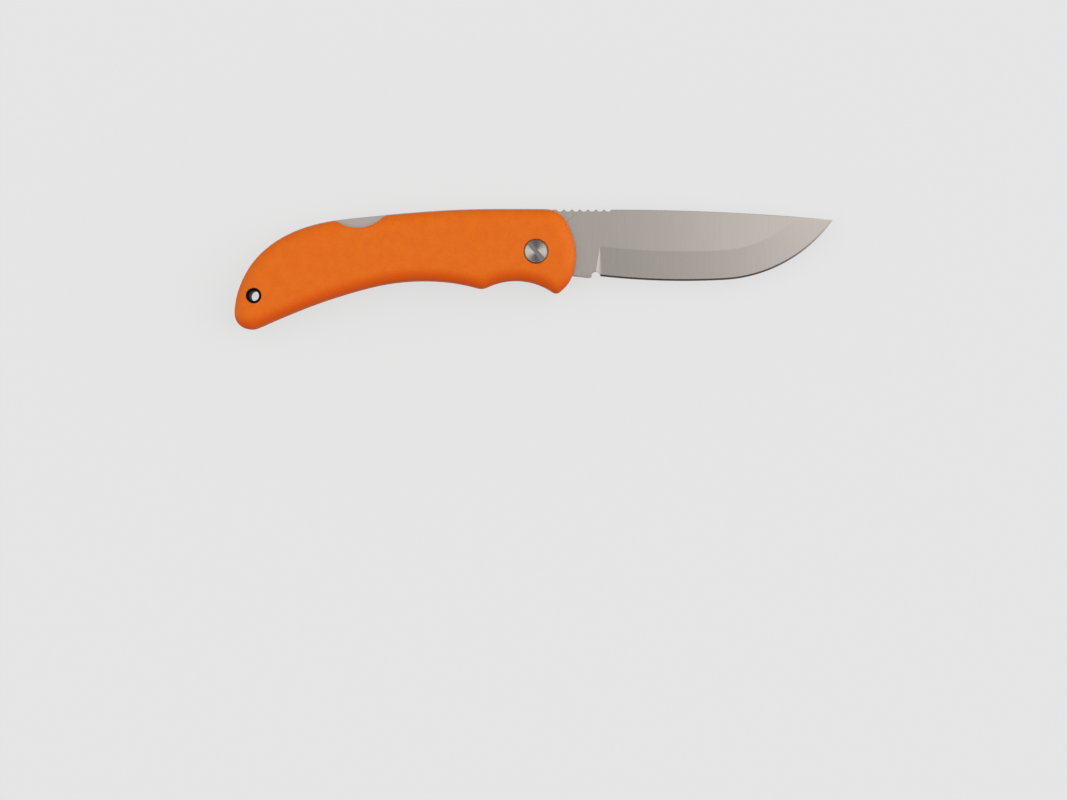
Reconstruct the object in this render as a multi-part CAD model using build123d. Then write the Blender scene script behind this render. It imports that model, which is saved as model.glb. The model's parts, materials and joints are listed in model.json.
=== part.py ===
from build123d import *
import math
import os

# A folding knife with a back lock, open and lying flat. Lengths are millimetres.
# X runs forward to the blade's point, Y from the cutting edge up to the back, Z through the
# thickness. The layout starts at the pivot axis, halfway through the blade. At the end the knife
# is moved so that it stands on Z = 0 with its outline centred on the origin.

# ---- Blade ----
BLADE_THICKNESS = 2.5
BLADE_REACH = 91.5  # pivot to the point
TIP_Y = 9.9
SPINE_FALL_FROM_TIP = 68.0  # from here the spine falls in one arc to the point
EDGE_LOW_FROM_TIP = 45.9  # the lowest place of the cutting edge
EDGE_LOW_Y = -8.84
EDGE_RADIUS = 230.0  # the nearly straight part of the edge
EDGE_SWEEP_FROM_TIP = 33.5  # from here the edge sweeps up in one arc to the point
CHOIL_X = 18.45  # round notch behind the edge
CHOIL_Y = -7.4
CHOIL_RADIUS = 1.35
PLUNGE_FROM_CHOIL = 1.25  # the ground face starts this far ahead of the notch's middle
PLUNGE_RUN = 1.5  # length over which it comes up to full thickness
KICK_FROM_CHOIL = 2.25  # the low corner behind the notch, which meets the lock bar when shut
KICK_Y = -8.0
KICK_RADIUS = 2.5
TANG_RADIUS = 4.2  # round end of the tang
UNDER_BEND = (9.0, -7.15)  # where the tang's underside flattens towards the kick
SPINE_SUNK = 0.15  # the spine lies this far below the steel of the back
JIMP_X = 7.4  # first of the thumb notches in the spine
JIMP_PITCH = 2.467
JIMP_COUNT = 7
JIMP_RADIUS = 1.1
JIMP_DEPTH = 0.6
GRIND_HEIGHT = 9.1  # width of the ground face, measured up from the edge
EDGE_SHOULDER = 0.5  # blade thickness where the ground face meets the edge bevel
BEVEL_HEIGHT = 0.55
EDGE_FLAT = 0.08  # thickness left at the cutting edge
FOLD_ANGLE = 172.0

# ---- Scales: the moulded halves of the handle, in side view ----
BACK_HEIGHT = 12.95  # pivot up to the straight front part of the back
BACK_START_X = 2.0  # where the front edge has rounded over into the back
BUTT_FROM_SHUT_TIP = (1.5, 3.6)  # the butt's centre, from the shut blade's point
BUTT_RADIUS = 4.9
BUTT_END_ANGLE = 294.0  # where the butt's arc runs out into the belly
# The back and the belly run through stations, given as shares of the way from the pivot to the
# butt's centre. At each one the back lies a drop below BACK_HEIGHT and the belly has a height.
BACK_SHARES = [0.238, 0.6, 0.767, 0.893, 0.976, 1.033]
BACK_DROPS = [0.1, 2.44, 4.57, 8.85, 14.6, 22.57]
BELLY_SHARES = [0.851, 0.77, 0.683, 0.516, 0.39, 0.277]
BELLY_HEIGHTS = [-18.7, -15.93, -13.4, -9.72, -8.88, -9.68]
BUMP_CORNER = (-16.4, -11.55)  # between the palm and the finger groove, before rounding
BUMP_WAY = (1.0, -0.3)  # the belly's direction where it meets the bump
BUMP_RADIUS = 4.5
GROOVE_TOP = (-6.2, -8.8)
HORN_CORNER = (6.35, -13.25)  # the finger guard's point, before rounding
HORN_WAY = (1.0, 1.0)  # the front edge's direction where it leaves the guard
FRONT_LINE = [(9.75, -9.9), (12.2, -1.8), (10.25, 7.4), (6.5, 12.1)]
SCALE_THICKNESS = 4.6
SCALE_ROUND = 1.7  # rounding of the outer edge
HORN_SPARE = 0.2  # the guard's point is this much blunter than the edge's rounding
SCOOP_FROM_BUTT = 32.95  # the thumb scoop over the lock bar, ahead of the butt's centre
SCOOP_FLOOR_Y = 7.25
SCOOP_RADIUS = 10.8
SCOOP_BLEND = 3.0  # rounding where the scoop runs out into the back
FRONT_PEGS = [(-9.0, -4.0), (-42.0, 0.5)]  # moulded pegs that key into the liners
REAR_PEG_FROM_BUTT = (16.4, 11.6)
PEG_RADIUS = 1.5
PEG_SHORTFALL = 0.2  # the pegs stop this far short of the liner's inner face
PEG_CLEARANCE = 0.05

# ---- Pivot ----
PIVOT_RADIUS = 2.5
PIVOT_CLEARANCE = 0.05  # running fit in the blade
PIVOT_SEAT_CLEARANCE = 0.03  # standing fit in liners and scales
PIVOT_HEAD_RADIUS = 3.55
PIVOT_HEAD_HEIGHT = 1.1
HEAD_RECESS_GAP = 0.25  # ring of air around each head
HEAD_SUNK = 0.15  # the heads stay this far below the scales
HEAD_CHAMFER = 0.2
SCREW_RADIUS = 1.5
SCREW_CLEARANCE = 0.05
SCREW_LENGTH = 6.0
SCREW_TIP_ROOM = 0.6
BARREL_GAP = 0.1  # from the end of the barrel to the screw's head
SLOT_WIDTH = 1.2  # of the screwdriver slot in each head
SLOT_DEPTH = 0.6
SLOT_LEAN = -50.0  # the front head's slot, from the X axis
WASHER_THICKNESS = 0.13
WASHER_RADIUS = 4.0
AXIAL_PLAY = 0.02  # between the blade and each washer

# ---- Liners ----
LINER_THICKNESS = 1.2
LINER_INSET = 0.4  # liner edge inside the scale edge
LINER_LIFT = 0.65  # the liners sit higher, so steel shows along the back
OUTLINE_STATION = 4.0  # spacing of the stations that carry an inset outline

# ---- Back lock ----
BAR_FRONT_X = 3.0
BAR_FROM_SCOOP = 10.0  # the bar ends this far behind the middle of the scoop
BAR_PIN_X = -26.0
BAR_PIN_RISE = 3.45  # the pin's height above the bar's underside
BAR_END_GAP = 0.35  # from the bar's front end to the tang
BAR_REAR_GAP = 0.2  # from its rear end to the spacer
KICK_GAP = 0.48  # from the shut blade's kick to the bar
HOOK_LENGTH = 4.6
HOOK_GAP = 0.45  # from the round tang to the hook
HOOK_SLOPE = 0.6  # how far the back of the hook leans
PIN_RADIUS = 1.25
PIN_CLEARANCE = 0.04  # running fit in the bar
PRESS_CLEARANCE = 0.01  # pressed pins and rivets in the plates
SPRING_THICKNESS = 0.9
SPRING_REACH = 20.0  # from the bar's rear end forward to the leaf's tip
SPRING_TAIL = 7.0  # length of leaf held in the spacer
SPRING_DROP = 2.95  # the tail's middle lies this far below the bar's underside
SPRING_GAP = 0.03
SLOT_CLEARANCE = 0.02  # around the leaf in the spacer

# ---- Spacer, rivets and lanyard tube ----
ROOM_BACK = 0.7  # air between the shut blade and the spacer
ROOM_UP = 1.0
UPPER_RIVET_FROM_BUTT = (17.9, 19.7)
LOWER_RIVET_FROM_BUTT = (9.9, 17.1)
TUBE_FROM_BUTT = (1.2, 5.35)
TUBE_BORE_RADIUS = 1.6
TUBE_WALL = 0.4
TUBE_FLARE = 0.3  # the mouth's lip beyond the tube's wall
TUBE_LIP_HEIGHT = 0.5
TUBE_RIM = 0.15  # width left at the mouth's edge
TUBE_SUNK = 0.1
TUBE_CLEARANCE = 0.05

TIP_OVERRUN = 8.0  # degrees that the grinding runs on past the point
FAR = 200.0  # longer than any cut needs
NEAR = 0.001  # two places closer than this are the same


def polar(centre, radius, degrees):
    """The point at a radius and an angle from a centre."""
    turn = math.radians(degrees)
    return (centre[0] + radius * math.cos(turn), centre[1] + radius * math.sin(turn))


def distance(first, second):
    return math.hypot(first[0] - second[0], first[1] - second[1])


def shifted(place, step):
    return (place[0] + step[0], place[1] + step[1])


def fold(point):
    """Where a point of the open blade lies when the blade is shut."""
    turn = math.radians(-FOLD_ANGLE)
    return (
        point[0] * math.cos(turn) - point[1] * math.sin(turn),
        point[0] * math.sin(turn) + point[1] * math.cos(turn),
    )


# ---- Levels through the thickness, up from the middle of the blade ----
BLADE_FACE = BLADE_THICKNESS / 2
LINER_INNER = BLADE_FACE + AXIAL_PLAY + WASHER_THICKNESS
LINER_OUTER = LINER_INNER + LINER_THICKNESS
SCALE_OUTER = LINER_OUTER + SCALE_THICKNESS
HEAD_TOP = SCALE_OUTER - HEAD_SUNK
HEAD_SEAT = HEAD_TOP - PIVOT_HEAD_HEIGHT
TUBE_TOP = SCALE_OUTER - TUBE_SUNK
TUBE_SEAT = TUBE_TOP - TUBE_LIP_HEIGHT

# ---- Places in side view that follow from the sizes ----
SPINE_HEIGHT = BACK_HEIGHT + LINER_LIFT - LINER_INSET - SPINE_SUNK
TIP = (BLADE_REACH, TIP_Y)
SPINE_FALL_X = BLADE_REACH - SPINE_FALL_FROM_TIP
EDGE_LOW_X = BLADE_REACH - EDGE_LOW_FROM_TIP
EDGE_SWEEP_X = BLADE_REACH - EDGE_SWEEP_FROM_TIP
PLUNGE_X = CHOIL_X + PLUNGE_FROM_CHOIL
KICK = (CHOIL_X - KICK_FROM_CHOIL, KICK_Y)
BUTT = shifted(fold(TIP), BUTT_FROM_SHUT_TIP)
HORN_RADIUS = SCALE_ROUND + HORN_SPARE
SCOOP_CENTRE = (BUTT[0] + SCOOP_FROM_BUTT, SCOOP_FLOOR_Y + SCOOP_RADIUS)
PEG_PLACES = [*FRONT_PEGS, shifted(BUTT, REAR_PEG_FROM_BUTT)]
BAR_UNDERSIDE_Y = fold(KICK)[1] + KICK_GAP
STOP_X = BAR_FRONT_X + BAR_END_GAP  # the upright face of the tang that meets the lock bar
BAR_REAR_X = SCOOP_CENTRE[0] - BAR_FROM_SCOOP
BAR_PIN = (BAR_PIN_X, BAR_UNDERSIDE_Y + BAR_PIN_RISE)
SPRING_Y = BAR_UNDERSIDE_Y - SPRING_DROP
TUBE_RADIUS = TUBE_BORE_RADIUS + TUBE_WALL
TUBE_PLACE = shifted(BUTT, TUBE_FROM_BUTT)
RIVET_PLACES = {
    "upper": shifted(BUTT, UPPER_RIVET_FROM_BUTT),
    "lower": shifted(BUTT, LOWER_RIVET_FROM_BUTT),
}


def slab(face, low, high):
    """The solid between two levels with the given side outline."""
    return extrude(Pos(0, 0, low) * face, amount=high - low)


def post(place, radius, low, high):
    return slab(Pos(*place) * Circle(radius), low, high)


def both_sides(solid):
    """A cutter together with its mirror image on the other face of the blade."""
    return [solid, mirror(solid, about=Plane.XY)]


def to_back(solid):
    """The mirror image, for the pieces of the knife's other side."""
    return mirror(solid, about=Plane.XY)


def smooth(points, first_way, last_way):
    """A smooth curve through points, with its directions at both ends."""
    return Spline(points, tangents=[first_way, last_way], tangent_scalars=[1, 1])


# ---- Side outlines ----
def handle_outline():
    """Outline of the scales: back, round butt, belly, finger groove, guard and front edge."""
    butt_start = polar(BUTT, BUTT_RADIUS, 180)
    butt_end = polar(BUTT, BUTT_RADIUS, BUTT_END_ANGLE)
    butt_way = (-math.sin(math.radians(BUTT_END_ANGLE)), math.cos(math.radians(BUTT_END_ANGLE)))
    back_start = (BACK_START_X, BACK_HEIGHT)
    back_points = [
        (BUTT[0] * share, BACK_HEIGHT - drop) for share, drop in zip(BACK_SHARES, BACK_DROPS)
    ]
    belly_points = [(BUTT[0] * share, height) for share, height in zip(BELLY_SHARES, BELLY_HEIGHTS)]
    back = smooth([back_start, *back_points, butt_start], (-1, 0), (0, -1))
    arc = ThreePointArc(butt_start, polar(BUTT, BUTT_RADIUS, (180 + BUTT_END_ANGLE) / 2), butt_end)
    belly = smooth([butt_end, *belly_points, BUMP_CORNER], butt_way, BUMP_WAY)
    groove = ThreePointArc(BUMP_CORNER, GROOVE_TOP, HORN_CORNER)
    front = smooth([HORN_CORNER, *FRONT_LINE, back_start], HORN_WAY, (-1, 0))
    face = make_face([back, arc, belly, groove, front])
    bump = face.vertices().sort_by_distance(Vector(*BUMP_CORNER))[0]
    face = fillet(bump, BUMP_RADIUS)
    horn = face.vertices().sort_by_distance(Vector(*HORN_CORNER))[0]
    return fillet(horn, HORN_RADIUS)


def blade_outline():
    """Outline of the blade ahead of the pivot, with its arcs of edge and spine."""
    sweep_start = (EDGE_SWEEP_X, edge_height(EDGE_SWEEP_X))
    heel = (PLUNGE_X, edge_height(PLUNGE_X))
    shoulder = (STOP_X, SPINE_HEIGHT)
    spine = Line(shoulder, (SPINE_FALL_X, SPINE_HEIGHT))
    fall = TangentArc((SPINE_FALL_X, SPINE_HEIGHT), TIP, tangent=(1, 0))
    edge = ThreePointArc(heel, (EDGE_LOW_X, EDGE_LOW_Y), sweep_start)
    sweep = TangentArc(sweep_start, TIP, tangent=edge_direction(EDGE_SWEEP_X))
    # The underside leaves the round tang at a tangent, bends once and ends in the kick.
    lean = math.degrees(math.atan2(UNDER_BEND[1], UNDER_BEND[0]))
    turn = math.degrees(math.acos(TANG_RADIUS / math.hypot(*UNDER_BEND)))
    under = Polyline(polar((0, 0), TANG_RADIUS, lean - turn), UNDER_BEND, KICK)
    ricasso = Line(KICK, heel)
    stop_and_root = Polyline(shoulder, (STOP_X, 0), (0, 0), under @ 0)
    face = make_face([spine, fall, sweep, edge, ricasso, under, stop_and_root])
    corner = face.vertices().sort_by_distance(Vector(*KICK))[0]
    return fillet(corner, KICK_RADIUS)


def edge_height(x):
    """Height of the edge's long arc at a station along the blade."""
    return EDGE_LOW_Y + EDGE_RADIUS - math.sqrt(EDGE_RADIUS**2 - (x - EDGE_LOW_X) ** 2)


def edge_direction(x):
    run = (x - EDGE_LOW_X) / EDGE_RADIUS
    return (math.sqrt(1 - run**2), run)


def sweep_circle():
    """Centre and radius of the arc that carries the edge up to the point."""
    along = edge_direction(EDGE_SWEEP_X)
    inward = (-along[1], along[0])
    start = (EDGE_SWEEP_X, edge_height(EDGE_SWEEP_X))
    to_tip = (TIP[0] - start[0], TIP[1] - start[1])
    rise = to_tip[0] * inward[0] + to_tip[1] * inward[1]
    radius = (to_tip[0] ** 2 + to_tip[1] ** 2) / (2 * rise)
    return (start[0] + radius * inward[0], start[1] + radius * inward[1]), radius


# ---- The pieces ----
def scoop():
    return Pos(*SCOOP_CENTRE) * Circle(SCOOP_RADIUS)


def scale(outline):
    """One moulded half of the handle: rounded outside, flat inside, with pegs for the liner."""
    side = outline - scoop()
    corners = side.vertices()
    scoop_ends = [v for v in corners if abs(distance((v.X, v.Y), SCOOP_CENTRE) - SCOOP_RADIUS) < NEAR]
    side = fillet(scoop_ends, SCOOP_BLEND)
    body = slab(side, LINER_OUTER, SCALE_OUTER)
    body = fillet(body.faces().sort_by(Axis.Z)[-1].edges(), SCALE_ROUND)
    body -= post((0, 0), PIVOT_RADIUS + PIVOT_SEAT_CLEARANCE, 0, FAR)
    body -= post((0, 0), PIVOT_HEAD_RADIUS + HEAD_RECESS_GAP, HEAD_SEAT, FAR)
    body -= post(TUBE_PLACE, TUBE_RADIUS + TUBE_CLEARANCE, 0, FAR)
    body -= post(TUBE_PLACE, TUBE_RADIUS + TUBE_FLARE + TUBE_CLEARANCE, TUBE_SEAT, FAR)
    for place in PEG_PLACES:
        body += post(place, PEG_RADIUS, LINER_INNER + PEG_SHORTFALL, LINER_OUTER)
    return body


def liner_outline(outline):
    """The scale's outline drawn in all round and lifted, so that steel shows along the back.

    The offset curves are drawn again as plain smooth curves through stations along them.
    """
    curves = []
    for edge in offset(outline, -LINER_INSET).edges():
        spans = math.ceil(edge.length / OUTLINE_STATION) + 1
        curves.append(Spline([edge @ (station / spans) for station in range(spans + 1)]))
    return Pos(0, LINER_LIFT) * make_face(curves)


def liner(face):
    side = face - scoop()
    side -= Circle(PIVOT_RADIUS + PIVOT_SEAT_CLEARANCE)
    side -= Pos(*BAR_PIN) * Circle(PIN_RADIUS + PRESS_CLEARANCE)
    side -= Pos(*TUBE_PLACE) * Circle(TUBE_RADIUS + TUBE_CLEARANCE)
    for place in RIVET_PLACES.values():
        side -= Pos(*place) * Circle(PIN_RADIUS + PRESS_CLEARANCE)
    for place in PEG_PLACES:
        side -= Pos(*place) * Circle(PEG_RADIUS + PEG_CLEARANCE)
    return slab(side, LINER_INNER, LINER_OUTER)


def ring_cutter(centre, radius, first_angle, last_angle, height, inner_level, edge_level):
    """Cutter for a ground face that follows an arc of the edge.

    In the plane through the arc's axis, the face falls in a straight line from inner_level, at
    height inside the arc, to edge_level on the arc itself.
    """
    slope = (inner_level - edge_level) / height
    reach = height  # the cutter runs on this far past the edge
    inner = radius - height
    outer = radius + reach
    profile = Polyline(
        (inner, inner_level),
        (inner, inner_level + reach),
        (outer, inner_level + reach),
        (outer, edge_level - slope * reach),
        close=True,
    )
    ring = revolve(Plane.XZ * make_face(profile), axis=Axis.Z, revolution_arc=last_angle - first_angle)
    return Pos(*centre) * Rot(0, 0, first_angle) * ring


def grind_cutters():
    """The ground face and the edge bevel, along the edge's long arc and along its sweep."""
    long_centre = (EDGE_LOW_X, EDGE_LOW_Y + EDGE_RADIUS)
    sweep_centre, sweep_radius = sweep_circle()
    long_end = math.degrees(math.asin((EDGE_SWEEP_X - EDGE_LOW_X) / EDGE_RADIUS)) - 90
    long_start = math.degrees(math.asin((CHOIL_X - PLUNGE_RUN - EDGE_LOW_X) / EDGE_RADIUS)) - 90
    tip_angle = math.degrees(math.atan2(TIP[1] - sweep_centre[1], TIP[0] - sweep_centre[0]))
    shoulder = EDGE_SHOULDER / 2
    bevel_top = shoulder + (BLADE_FACE - shoulder) * BEVEL_HEIGHT / GRIND_HEIGHT
    grind = (GRIND_HEIGHT, BLADE_FACE, shoulder)
    bevel = (BEVEL_HEIGHT, bevel_top, EDGE_FLAT / 2)
    long_grind = ring_cutter(long_centre, EDGE_RADIUS, long_start, long_end, *grind)
    return [
        split(long_grind, bisect_by=plunge_plane(), keep=Keep.TOP),
        ring_cutter(long_centre, EDGE_RADIUS, long_start, long_end, *bevel),
        ring_cutter(sweep_centre, sweep_radius, long_end, tip_angle + TIP_OVERRUN, *grind),
        ring_cutter(sweep_centre, sweep_radius, long_end, tip_angle + TIP_OVERRUN, *bevel),
    ]


def plunge_plane():
    """The slanting plane in which the ground face ends behind the choil.

    It crosses the ground face at PLUNGE_X, and comes up to the blade's flat over PLUNGE_RUN where
    the grind is deepest.
    """
    depth = BLADE_FACE - EDGE_SHOULDER / 2
    foot = (PLUNGE_X, edge_height(PLUNGE_X), EDGE_SHOULDER / 2)
    return Plane(origin=foot, z_dir=(depth / PLUNGE_RUN, -depth / GRIND_HEIGHT, 1))


def blade():
    side = blade_outline() + Circle(TANG_RADIUS)
    side -= Circle(PIVOT_RADIUS + PIVOT_CLEARANCE)
    side -= Pos(CHOIL_X, CHOIL_Y) * Circle(CHOIL_RADIUS)
    for notch in range(JIMP_COUNT):
        place = (JIMP_X + notch * JIMP_PITCH, SPINE_HEIGHT + JIMP_RADIUS - JIMP_DEPTH)
        side -= Pos(*place) * Circle(JIMP_RADIUS)
    body = slab(side, -BLADE_FACE, BLADE_FACE)
    for cutter in grind_cutters():
        for half in both_sides(cutter):
            body -= half
    return body


def lock_bar(liner_face):
    """The rocking bar: its top follows the liners, both ends are arcs around its pin."""
    hook_start = BAR_FRONT_X - HOOK_LENGTH
    hook_floor = TANG_RADIUS + HOOK_GAP
    front = make_face(
        Polyline(
            (BAR_PIN_X, BAR_UNDERSIDE_Y),
            (hook_start, BAR_UNDERSIDE_Y),
            (hook_start + HOOK_SLOPE, hook_floor),
            (FAR, hook_floor),
            (FAR, FAR),
            (BAR_PIN_X, FAR),
            close=True,
        )
    )
    rear = make_face(
        Polyline(
            (BAR_PIN_X, BAR_UNDERSIDE_Y), (BAR_PIN_X, FAR), (-FAR, FAR), (-FAR, BAR_UNDERSIDE_Y), close=True
        )
    )
    front &= Pos(*BAR_PIN) * Circle(BAR_FRONT_X - BAR_PIN_X)
    rear &= Pos(*BAR_PIN) * Circle(BAR_PIN_X - BAR_REAR_X)
    side = liner_face & (front + rear)
    side -= Pos(*BAR_PIN) * Circle(PIN_RADIUS + PIN_CLEARANCE)
    return slab(side, -BLADE_FACE, BLADE_FACE)


def lock_spring():
    """A leaf that is held in the spacer and rises to bear under the bar's rear arm."""
    tip_y = BAR_UNDERSIDE_Y - SPRING_GAP - SPRING_THICKNESS / 2
    bend = (BAR_REAR_X, SPRING_Y)
    lines = [
        Line(shifted(bend, (-SPRING_TAIL, 0)), bend),
        TangentArc(bend, (BAR_REAR_X + SPRING_REACH, tip_y), tangent=(1, 0)),
    ]
    half = SPRING_THICKNESS / 2
    low = [Pos(0, -half) * line for line in lines]
    high = [Pos(0, half) * line for line in lines]
    ends = [Line(low[0] @ 0, high[0] @ 0), Line(low[1] @ 1, high[1] @ 1)]
    return slab(make_face([*low, *high, *ends]), -BLADE_FACE, BLADE_FACE)


def shut_blade_room():
    """The room that the shut blade's edge needs, open downwards where the blade swings in."""
    sweep_start = (EDGE_SWEEP_X, edge_height(EDGE_SWEEP_X))
    centre, radius = sweep_circle()
    start_angle = math.degrees(math.atan2(sweep_start[1] - centre[1], sweep_start[0] - centre[0]))
    tip_angle = math.degrees(math.atan2(TIP[1] - centre[1], TIP[0] - centre[0]))
    midway = polar(centre, radius, (start_angle + tip_angle) / 2)
    heel = (PLUNGE_X, edge_height(PLUNGE_X))
    lift = Pos(-ROOM_BACK, ROOM_UP)
    edge = lift * ThreePointArc(fold(heel), fold((EDGE_LOW_X, EDGE_LOW_Y)), fold(sweep_start))
    sweep = lift * ThreePointArc(fold(sweep_start), fold(midway), fold(TIP))
    front, rear = edge @ 0, sweep @ 1
    sides = Polyline((front.X, front.Y), (front.X, -FAR), (rear.X, -FAR), (rear.X, rear.Y))
    return make_face([edge, sweep, sides])


def rear_spacer(liner_face):
    """Fills the handle behind the lock bar and above the shut blade."""
    behind = Pos(BAR_PIN_X - FAR / 2, 0) * Rectangle(FAR, FAR)
    side = liner_face & behind
    side -= Pos(*BAR_PIN) * Circle(BAR_PIN_X - BAR_REAR_X + BAR_REAR_GAP)
    side -= shut_blade_room()
    side -= Pos(*TUBE_PLACE) * Circle(TUBE_RADIUS + TUBE_CLEARANCE)
    for place in RIVET_PLACES.values():
        side -= Pos(*place) * Circle(PIN_RADIUS + PRESS_CLEARANCE)
    slot_back = BAR_REAR_X - SPRING_TAIL - SLOT_CLEARANCE
    slot_length = BAR_PIN_X - slot_back
    slot_height = SPRING_THICKNESS + 2 * SLOT_CLEARANCE
    side -= Pos(slot_back + slot_length / 2, SPRING_Y) * Rectangle(slot_length, slot_height)
    return slab(side.faces().sort_by(Axis.X)[0], -LINER_INNER, LINER_INNER)


def driver_slot():
    """A straight slot across the front head, from its face down."""
    blade_way = Rot(0, 0, SLOT_LEAN) * Rectangle(FAR, SLOT_WIDTH)
    return slab(blade_way, HEAD_TOP - SLOT_DEPTH, FAR)


def pivot_barrel():
    """The turned half of the pivot with a slotted head and a blind hole for the screw."""
    end = BARREL_GAP - HEAD_SEAT
    head = post((0, 0), PIVOT_HEAD_RADIUS, HEAD_SEAT, HEAD_TOP)
    head = chamfer(head.edges().sort_by(Axis.Z)[-1], HEAD_CHAMFER)
    hole_end = SCREW_LENGTH + SCREW_TIP_ROOM - HEAD_SEAT
    barrel = head + post((0, 0), PIVOT_RADIUS, end, HEAD_SEAT)
    barrel -= post((0, 0), SCREW_RADIUS + SCREW_CLEARANCE, -FAR, hole_end)
    return barrel - driver_slot()


def pivot_screw():
    head = post((0, 0), PIVOT_HEAD_RADIUS, -HEAD_TOP, -HEAD_SEAT)
    head = chamfer(head.edges().sort_by(Axis.Z)[0], HEAD_CHAMFER)
    shank = post((0, 0), SCREW_RADIUS, -HEAD_SEAT, SCREW_LENGTH - HEAD_SEAT)
    return head + shank - to_back(driver_slot())


def washer():
    ring = Circle(WASHER_RADIUS) - Circle(PIVOT_RADIUS + PIVOT_SEAT_CLEARANCE)
    return slab(ring, BLADE_FACE + AXIAL_PLAY, LINER_INNER)


def cross_pin(place):
    """A pin or rivet through both liners, flush with their outer faces."""
    return post(place, PIN_RADIUS, -LINER_OUTER, LINER_OUTER)


def lanyard_tube():
    """The dark tube that lines the lanyard hole, with a flared mouth in each scale."""
    lip = TUBE_RADIUS + TUBE_FLARE
    upper = [
        (TUBE_BORE_RADIUS, TUBE_SEAT),
        (lip - TUBE_RIM, TUBE_TOP),
        (lip, TUBE_TOP),
        (lip, TUBE_SEAT),
        (TUBE_RADIUS, TUBE_SEAT),
    ]
    lower = [(radius, -level) for radius, level in reversed(upper)]
    profile = Plane.XZ * make_face(Polyline(*upper, *lower, close=True))
    return Pos(*TUBE_PLACE) * revolve(profile, axis=Axis.Z)


side_outline = handle_outline()
liner_side = liner_outline(side_outline)
front_scale = scale(side_outline)
front_liner = liner(liner_side)
front_washer = washer()
pieces = {
    "handle_scale_front": front_scale,
    "handle_scale_back": to_back(front_scale),
    "liner_front": front_liner,
    "liner_back": to_back(front_liner),
    "blade": blade(),
    "washer_front": front_washer,
    "washer_back": to_back(front_washer),
    "pivot_barrel": pivot_barrel(),
    "pivot_screw": pivot_screw(),
    "lock_bar": lock_bar(liner_side),
    "lock_bar_pin": cross_pin(BAR_PIN),
    "lock_spring": lock_spring(),
    "rear_spacer": rear_spacer(liner_side),
    "lanyard_tube": lanyard_tube(),
}
for end, place in RIVET_PLACES.items():
    pieces[f"spacer_rivet_{end}"] = cross_pin(place)

box = Compound(children=[Compound(piece.solids()) for piece in pieces.values()]).bounding_box()
stand = Pos(-box.center().X, -box.center().Y, -box.min.Z)
os.makedirs("parts", exist_ok=True)
for name, piece in pieces.items():
    export_step(stand * piece, f"parts/{name}.step")
print("pivot axis at", stand.position.X, stand.position.Y, "blade's middle at", stand.position.Z)
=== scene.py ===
"""Looks of a folding rigging knife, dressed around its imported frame.

Each sub-assembly is a class: it holds its sizes in millimetres, builds its surfaces as whole
numpy arrays and gives them their finishes. The knife lies open on its back scale: +X runs to the
blade's point, +Y to the back of the knife, and Z = 0 is the surface that it lies on. Sizes of the
blade and of the turned pieces are measured from the pivot's axis and from the blade's middle.
"""

from __future__ import annotations

import json
import logging
import math
from dataclasses import dataclass
from enum import Enum

import bmesh
import bpy
import numpy as np
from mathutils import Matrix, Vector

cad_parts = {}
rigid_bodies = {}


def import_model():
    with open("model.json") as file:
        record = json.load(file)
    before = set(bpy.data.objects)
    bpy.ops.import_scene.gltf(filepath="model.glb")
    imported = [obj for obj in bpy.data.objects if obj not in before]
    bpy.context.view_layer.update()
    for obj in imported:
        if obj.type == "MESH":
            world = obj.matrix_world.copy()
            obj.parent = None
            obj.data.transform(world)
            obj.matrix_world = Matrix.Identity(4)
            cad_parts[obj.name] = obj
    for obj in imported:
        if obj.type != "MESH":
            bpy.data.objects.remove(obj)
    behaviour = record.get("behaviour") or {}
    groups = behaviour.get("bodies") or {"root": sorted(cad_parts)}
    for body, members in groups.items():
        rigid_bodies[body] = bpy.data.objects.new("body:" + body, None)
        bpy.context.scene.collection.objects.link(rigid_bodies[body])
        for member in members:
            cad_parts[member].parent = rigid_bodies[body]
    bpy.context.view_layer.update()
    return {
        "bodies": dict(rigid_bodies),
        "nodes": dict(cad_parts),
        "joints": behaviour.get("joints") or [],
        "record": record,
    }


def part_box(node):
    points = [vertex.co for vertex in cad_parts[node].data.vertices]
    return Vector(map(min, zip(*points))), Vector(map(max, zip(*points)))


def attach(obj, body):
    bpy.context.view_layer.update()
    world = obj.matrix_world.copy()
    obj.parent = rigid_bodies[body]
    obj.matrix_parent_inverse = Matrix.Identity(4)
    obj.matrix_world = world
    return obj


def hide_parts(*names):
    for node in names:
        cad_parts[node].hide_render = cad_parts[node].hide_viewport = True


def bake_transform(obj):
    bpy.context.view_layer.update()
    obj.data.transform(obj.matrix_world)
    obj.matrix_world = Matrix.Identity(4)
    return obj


log = logging.getLogger("rigging_knife")

MM = 0.001
WELD = 1e-6  # metres; points closer than this are one point
STEEP = math.radians(60)  # faces that meet at more than this form an edge of the outline
CHUNK = 2000  # points measured at a time, to spare memory
RING_POINTS = 72  # on each ring of a turned piece

Tree = bpy.types.NodeTree
Socket = bpy.types.NodeSocket


class Grain(Enum):
    """The way that the lines of a ground finish run."""

    ALONG = "along the knife"
    ACROSS = "across the knife"


# ---- Small tools ----
def linear(code: str) -> tuple[float, float, float, float]:
    """The linear colour of an sRGB hex value.

    Args:
        code: six hex digits, as in a paint chart.

    Returns:
        Red, green, blue and an alpha of one.
    """
    shares = [int(code[i : i + 2], 16) / 255 for i in (0, 2, 4)]
    parts = [s / 12.92 if s <= 0.04045 else ((s + 0.055) / 1.055) ** 2.4 for s in shares]
    return (parts[0], parts[1], parts[2], 1.0)


def grey(level: float) -> tuple[float, float, float, float]:
    """A neutral linear colour."""
    return (level, level, level, 1.0)


def fresh_tree(owner: bpy.types.Material | bpy.types.World) -> Tree:
    """The emptied node tree of a new material or world."""
    owner.use_nodes = True
    owner.node_tree.nodes.clear()
    return owner.node_tree


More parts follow.
